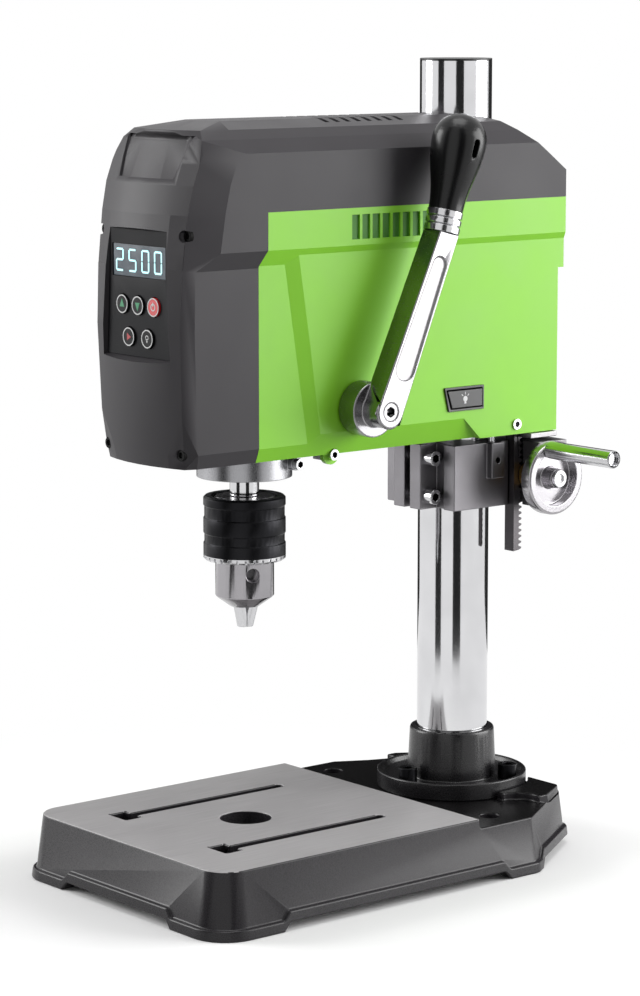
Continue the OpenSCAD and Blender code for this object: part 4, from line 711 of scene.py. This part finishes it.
def slab(shape, low, high, edge):
    """A block between two corners, with all its edges softened."""
    block = bmesh.ops.create_cube(shape, size=1.0)["verts"]
    bmesh.ops.scale(shape, vec=high - low, verts=block)
    bmesh.ops.translate(shape, vec=(low + high) / 2, verts=block)
    bmesh.ops.bevel(shape, geom=list({e for v in block for e in v.link_edges}), offset=edge,
                    affect="EDGES", segments=2, profile=0.5, material=-1)


for name, side in (("right_vent_shade", 1), ("left_vent_shade", -1)):
    shape = bmesh.new()
    slab(shape, VENT_LOW, VENT_HIGH, 0.2 * MM)
    if side < 0:
        bmesh.ops.scale(shape, vec=(-1, 1, 1), verts=shape.verts)
        bmesh.ops.recalc_face_normals(shape, faces=shape.faces)
    piece(name, shape, "head", [vent_painted_shade], slot=slots_of["right_cover"])
print("vent walls between", VENT_LOW, "and", VENT_HIGH)

# %% [markdown]
# The rocker switches the work light, so its face has a small white lamp printed on it: a bulb, a
# collar and three rays. It is flat print, a tenth of a millimetre thick, laid on the rocker's face.

# %% The lamp sign on the rocker
SIGN_T = 0.1 * MM
BULB_R = 1.5 * MM
STROKE = 0.35 * MM
RAY_LONG = 1.3 * MM
RAY_OUT = 2.9 * MM
QUARTER = math.radians(90)
ROCKER_LOW, ROCKER_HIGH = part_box("lamp_rocker")
rocker_face = Vector((ROCKER_HIGH.x, (ROCKER_LOW.y + ROCKER_HIGH.y) / 2,
                      (ROCKER_LOW.z + ROCKER_HIGH.z) / 2))


def stroke(shape, wide, tall, up, lean=0):
    """A flat bar of the sign, lifted above the bulb's middle and leant round it."""
    bar = bmesh.ops.create_grid(shape, x_segments=1, y_segments=1, size=0.5)["verts"]
    bmesh.ops.scale(shape, vec=(wide, tall, 1), verts=bar)
    bmesh.ops.translate(shape, vec=(0, up, 0), verts=bar)
    bmesh.ops.rotate(shape, matrix=Matrix.Rotation(math.radians(lean), 3, "Z"), verts=bar)


shape = bmesh.new()
bmesh.ops.create_circle(shape, cap_ends=True, segments=24, radius=BULB_R)
stroke(shape, 1.3 * MM, 1.0 * MM, -2.0 * MM)
for lean in (0, -45, 45):
    stroke(shape, STROKE, RAY_LONG, RAY_OUT, lean)
lifted = bmesh.ops.extrude_face_region(shape, geom=shape.faces[:])["geom"]
bmesh.ops.translate(shape, vec=(0, 0, SIGN_T),
                    verts=[g for g in lifted if isinstance(g, bmesh.types.BMVert)])
for axis in ("X", "Z"):
    bmesh.ops.rotate(shape, matrix=Matrix.Rotation(QUARTER, 3, axis), verts=shape.verts)
bmesh.ops.translate(shape, vec=rocker_face, verts=shape.verts)
bmesh.ops.recalc_face_normals(shape, faces=shape.faces)
piece("lamp_sign", shape, bodies_of["lamp_rocker"], [print_white], slot=slots_of["lamp_rocker"])
print("lamp sign at", rocker_face)

# %% [markdown]
# The display shows four seven-segment digits. On the real panel they are lit bars behind a tinted
# window. Each bar here is a thin block with clipped corners, laid just in front of the window.

# %% Digits on the display
LENS_LOW, LENS_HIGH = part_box("display_lens")
DIGIT_W = 6.4 * MM
DIGIT_H = 11.4 * MM
BAR = 0.95 * MM
BAR_T = 0.12 * MM
BAR_CORNER = 0.35 * MM
BAR_OFF = 0.02 * MM
DIGIT_X = [-16.2 * MM, -5.7 * MM, 4.9 * MM, 15.3 * MM]
BARS = {"top": (0, 1, 0), "middle": (0, 0, 0), "bottom": (0, -1, 0), "high_left": (-1, 0.5, 1),
        "high_right": (1, 0.5, 1), "low_left": (-1, -0.5, 1), "low_right": (1, -0.5, 1)}
LIT = {"2": "top high_right middle low_left bottom", "5": "top high_left middle low_right bottom",
       "0": "top high_left high_right low_left low_right bottom"}


def stamp(shape, size, place, corner=0.0):
    """Adds a block of a size at a place; its corners, seen from the front, can be clipped."""
    block = bmesh.ops.create_cube(shape, size=1.0)["verts"]
    bmesh.ops.scale(shape, vec=size, verts=block)
    bmesh.ops.translate(shape, vec=place, verts=block)
    if corner:
        rims = [e for e in {e for v in block for e in v.link_edges}
                if abs(e.verts[0].co.y - e.verts[1].co.y) > size[1] / 2]
        bmesh.ops.bevel(shape, geom=rims, offset=corner, affect="EDGES", segments=1, profile=0.5,
                        material=-1)


shape = bmesh.new()
window_mid = (LENS_LOW + LENS_HIGH) / 2
for figure, x in zip("2500", DIGIT_X):
    for bar in LIT[figure].split():
        across, up, upright = BARS[bar]
        length = (DIGIT_H if upright else DIGIT_W * 2) / 2 - BAR * 0.75
        size = (BAR, BAR_T, length) if upright else (length - BAR * 0.5, BAR_T, BAR)
        place = Vector((x + across * (DIGIT_W - BAR) / 2, LENS_LOW.y - BAR_T / 2 - BAR_OFF,
                        window_mid.z + up * (DIGIT_H - BAR) / 2))
        stamp(shape, size, place, BAR_CORNER)
piece("display_digits", shape, "head", [digit_glow], slot="display")
print("digits across", DIGIT_X)

# %% [markdown]
# Five rubbery domes stand through the panel. Each has a thin white ring printed round its edge and
# a small mark: two green arrows, a red power sign, a red start arrow and a lamp.

# %% Rings and marks on the buttons
PRINT_T = 0.08 * MM
RING_OUT = 4.6 * MM
RING_IN = 4.0 * MM
MARK_R = 2.2 * MM


def disc(shape, radius, place, sides=48, turn=0.0, inner=0.0, stretch=1.0):
    """Adds a flat disc, ring or small polygon that faces the operator, PRINT_T thick."""
    rim = bmesh.ops.create_circle(shape, cap_ends=not inner, segments=sides, radius=radius)["verts"]
    if inner:
        edges = list({e for v in rim for e in v.link_edges})
        grown = bmesh.ops.extrude_edge_only(shape, edges=edges)["geom"]
        inside = [g for g in grown if isinstance(g, bmesh.types.BMVert)]
        bmesh.ops.scale(shape, vec=(inner / radius, inner / radius, 1), verts=inside)
        rim = rim + inside
    faces = list({f for v in rim for f in v.link_faces})
    lifted = bmesh.ops.extrude_face_region(shape, geom=faces)["geom"]
    top = [g for g in lifted if isinstance(g, bmesh.types.BMVert)]
    bmesh.ops.translate(shape, vec=(0, 0, PRINT_T), verts=top)
    every = rim + top
    bmesh.ops.rotate(shape, matrix=Matrix.Rotation(turn, 3, "Z"), verts=every)
    bmesh.ops.scale(shape, vec=(1, stretch, 1), verts=every)
    bmesh.ops.rotate(shape, matrix=Matrix.Rotation(QUARTER, 3, "X"), verts=every)
    bmesh.ops.translate(shape, vec=place, verts=every)


def face_of(button):
    """The middle of a button's face."""
    low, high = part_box(button)
    return Vector(((low.x + high.x) / 2, low.y - 0.01 * MM, (low.z + high.z) / 2))


def printed(name, button, paint, marks):
    """A print on a button's face, made by a function that fills a bmesh."""
    shape = bmesh.new()
    marks(shape, face_of(button))
    bmesh.ops.recalc_face_normals(shape, faces=shape.faces)
    piece(name, shape, button, [paint], slot=slots_of[button])


for button in ("button_up", "button_down", "button_power", "button_start", "button_lamp"):
    printed(button + "_ring", button, print_white,
            lambda shape, at: disc(shape, RING_OUT, at, inner=RING_IN))
for name, button, paint, turn, stretch in (
        ("mark_up", "button_up", print_green, 0.0, 1.25),
        ("mark_down", "button_down", print_green, math.pi, 1.25),
        ("mark_start", "button_start", print_red, -math.pi / 2, 1.0)):
    printed(name, button, paint,
            lambda shape, at: disc(shape, MARK_R, at, 3, turn, stretch=stretch))
print("ring on each button, out to", RING_OUT)


# %% The power sign and the small lamp
def power_sign(shape, at):
    """A ring with an upright bar through its top."""
    disc(shape, 1.9 * MM, at, inner=1.35 * MM)
    stamp(shape, (0.6 * MM, PRINT_T * 1.5, 2.0 * MM), at + Vector((0, -PRINT_T * 0.75, 1.4 * MM)))


def lamp_sign(shape, at):
    """A ring for the bulb over two short bars for its collar."""
    disc(shape, 1.25 * MM, at + Vector((0, 0, 0.6 * MM)), inner=0.8 * MM)
    for drop, width in ((1.1, 1.3), (1.7, 1.0)):
        stamp(shape, (width * MM, PRINT_T, 0.35 * MM), at + Vector((0, -PRINT_T / 2, -drop * MM)))


printed("mark_power", "button_power", print_white, power_sign)
printed("mark_lamp", "button_lamp", print_white, lamp_sign)

# %% [markdown]
# Last, the box round everything is measured again. Details may stand a little proud of the CAD
# model, but the dressed machine keeps its size.

# %% Sizes and the end
size = {"cad": [list(c) for c in cad_box], "visual": [list(c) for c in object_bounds()]}
print(size)
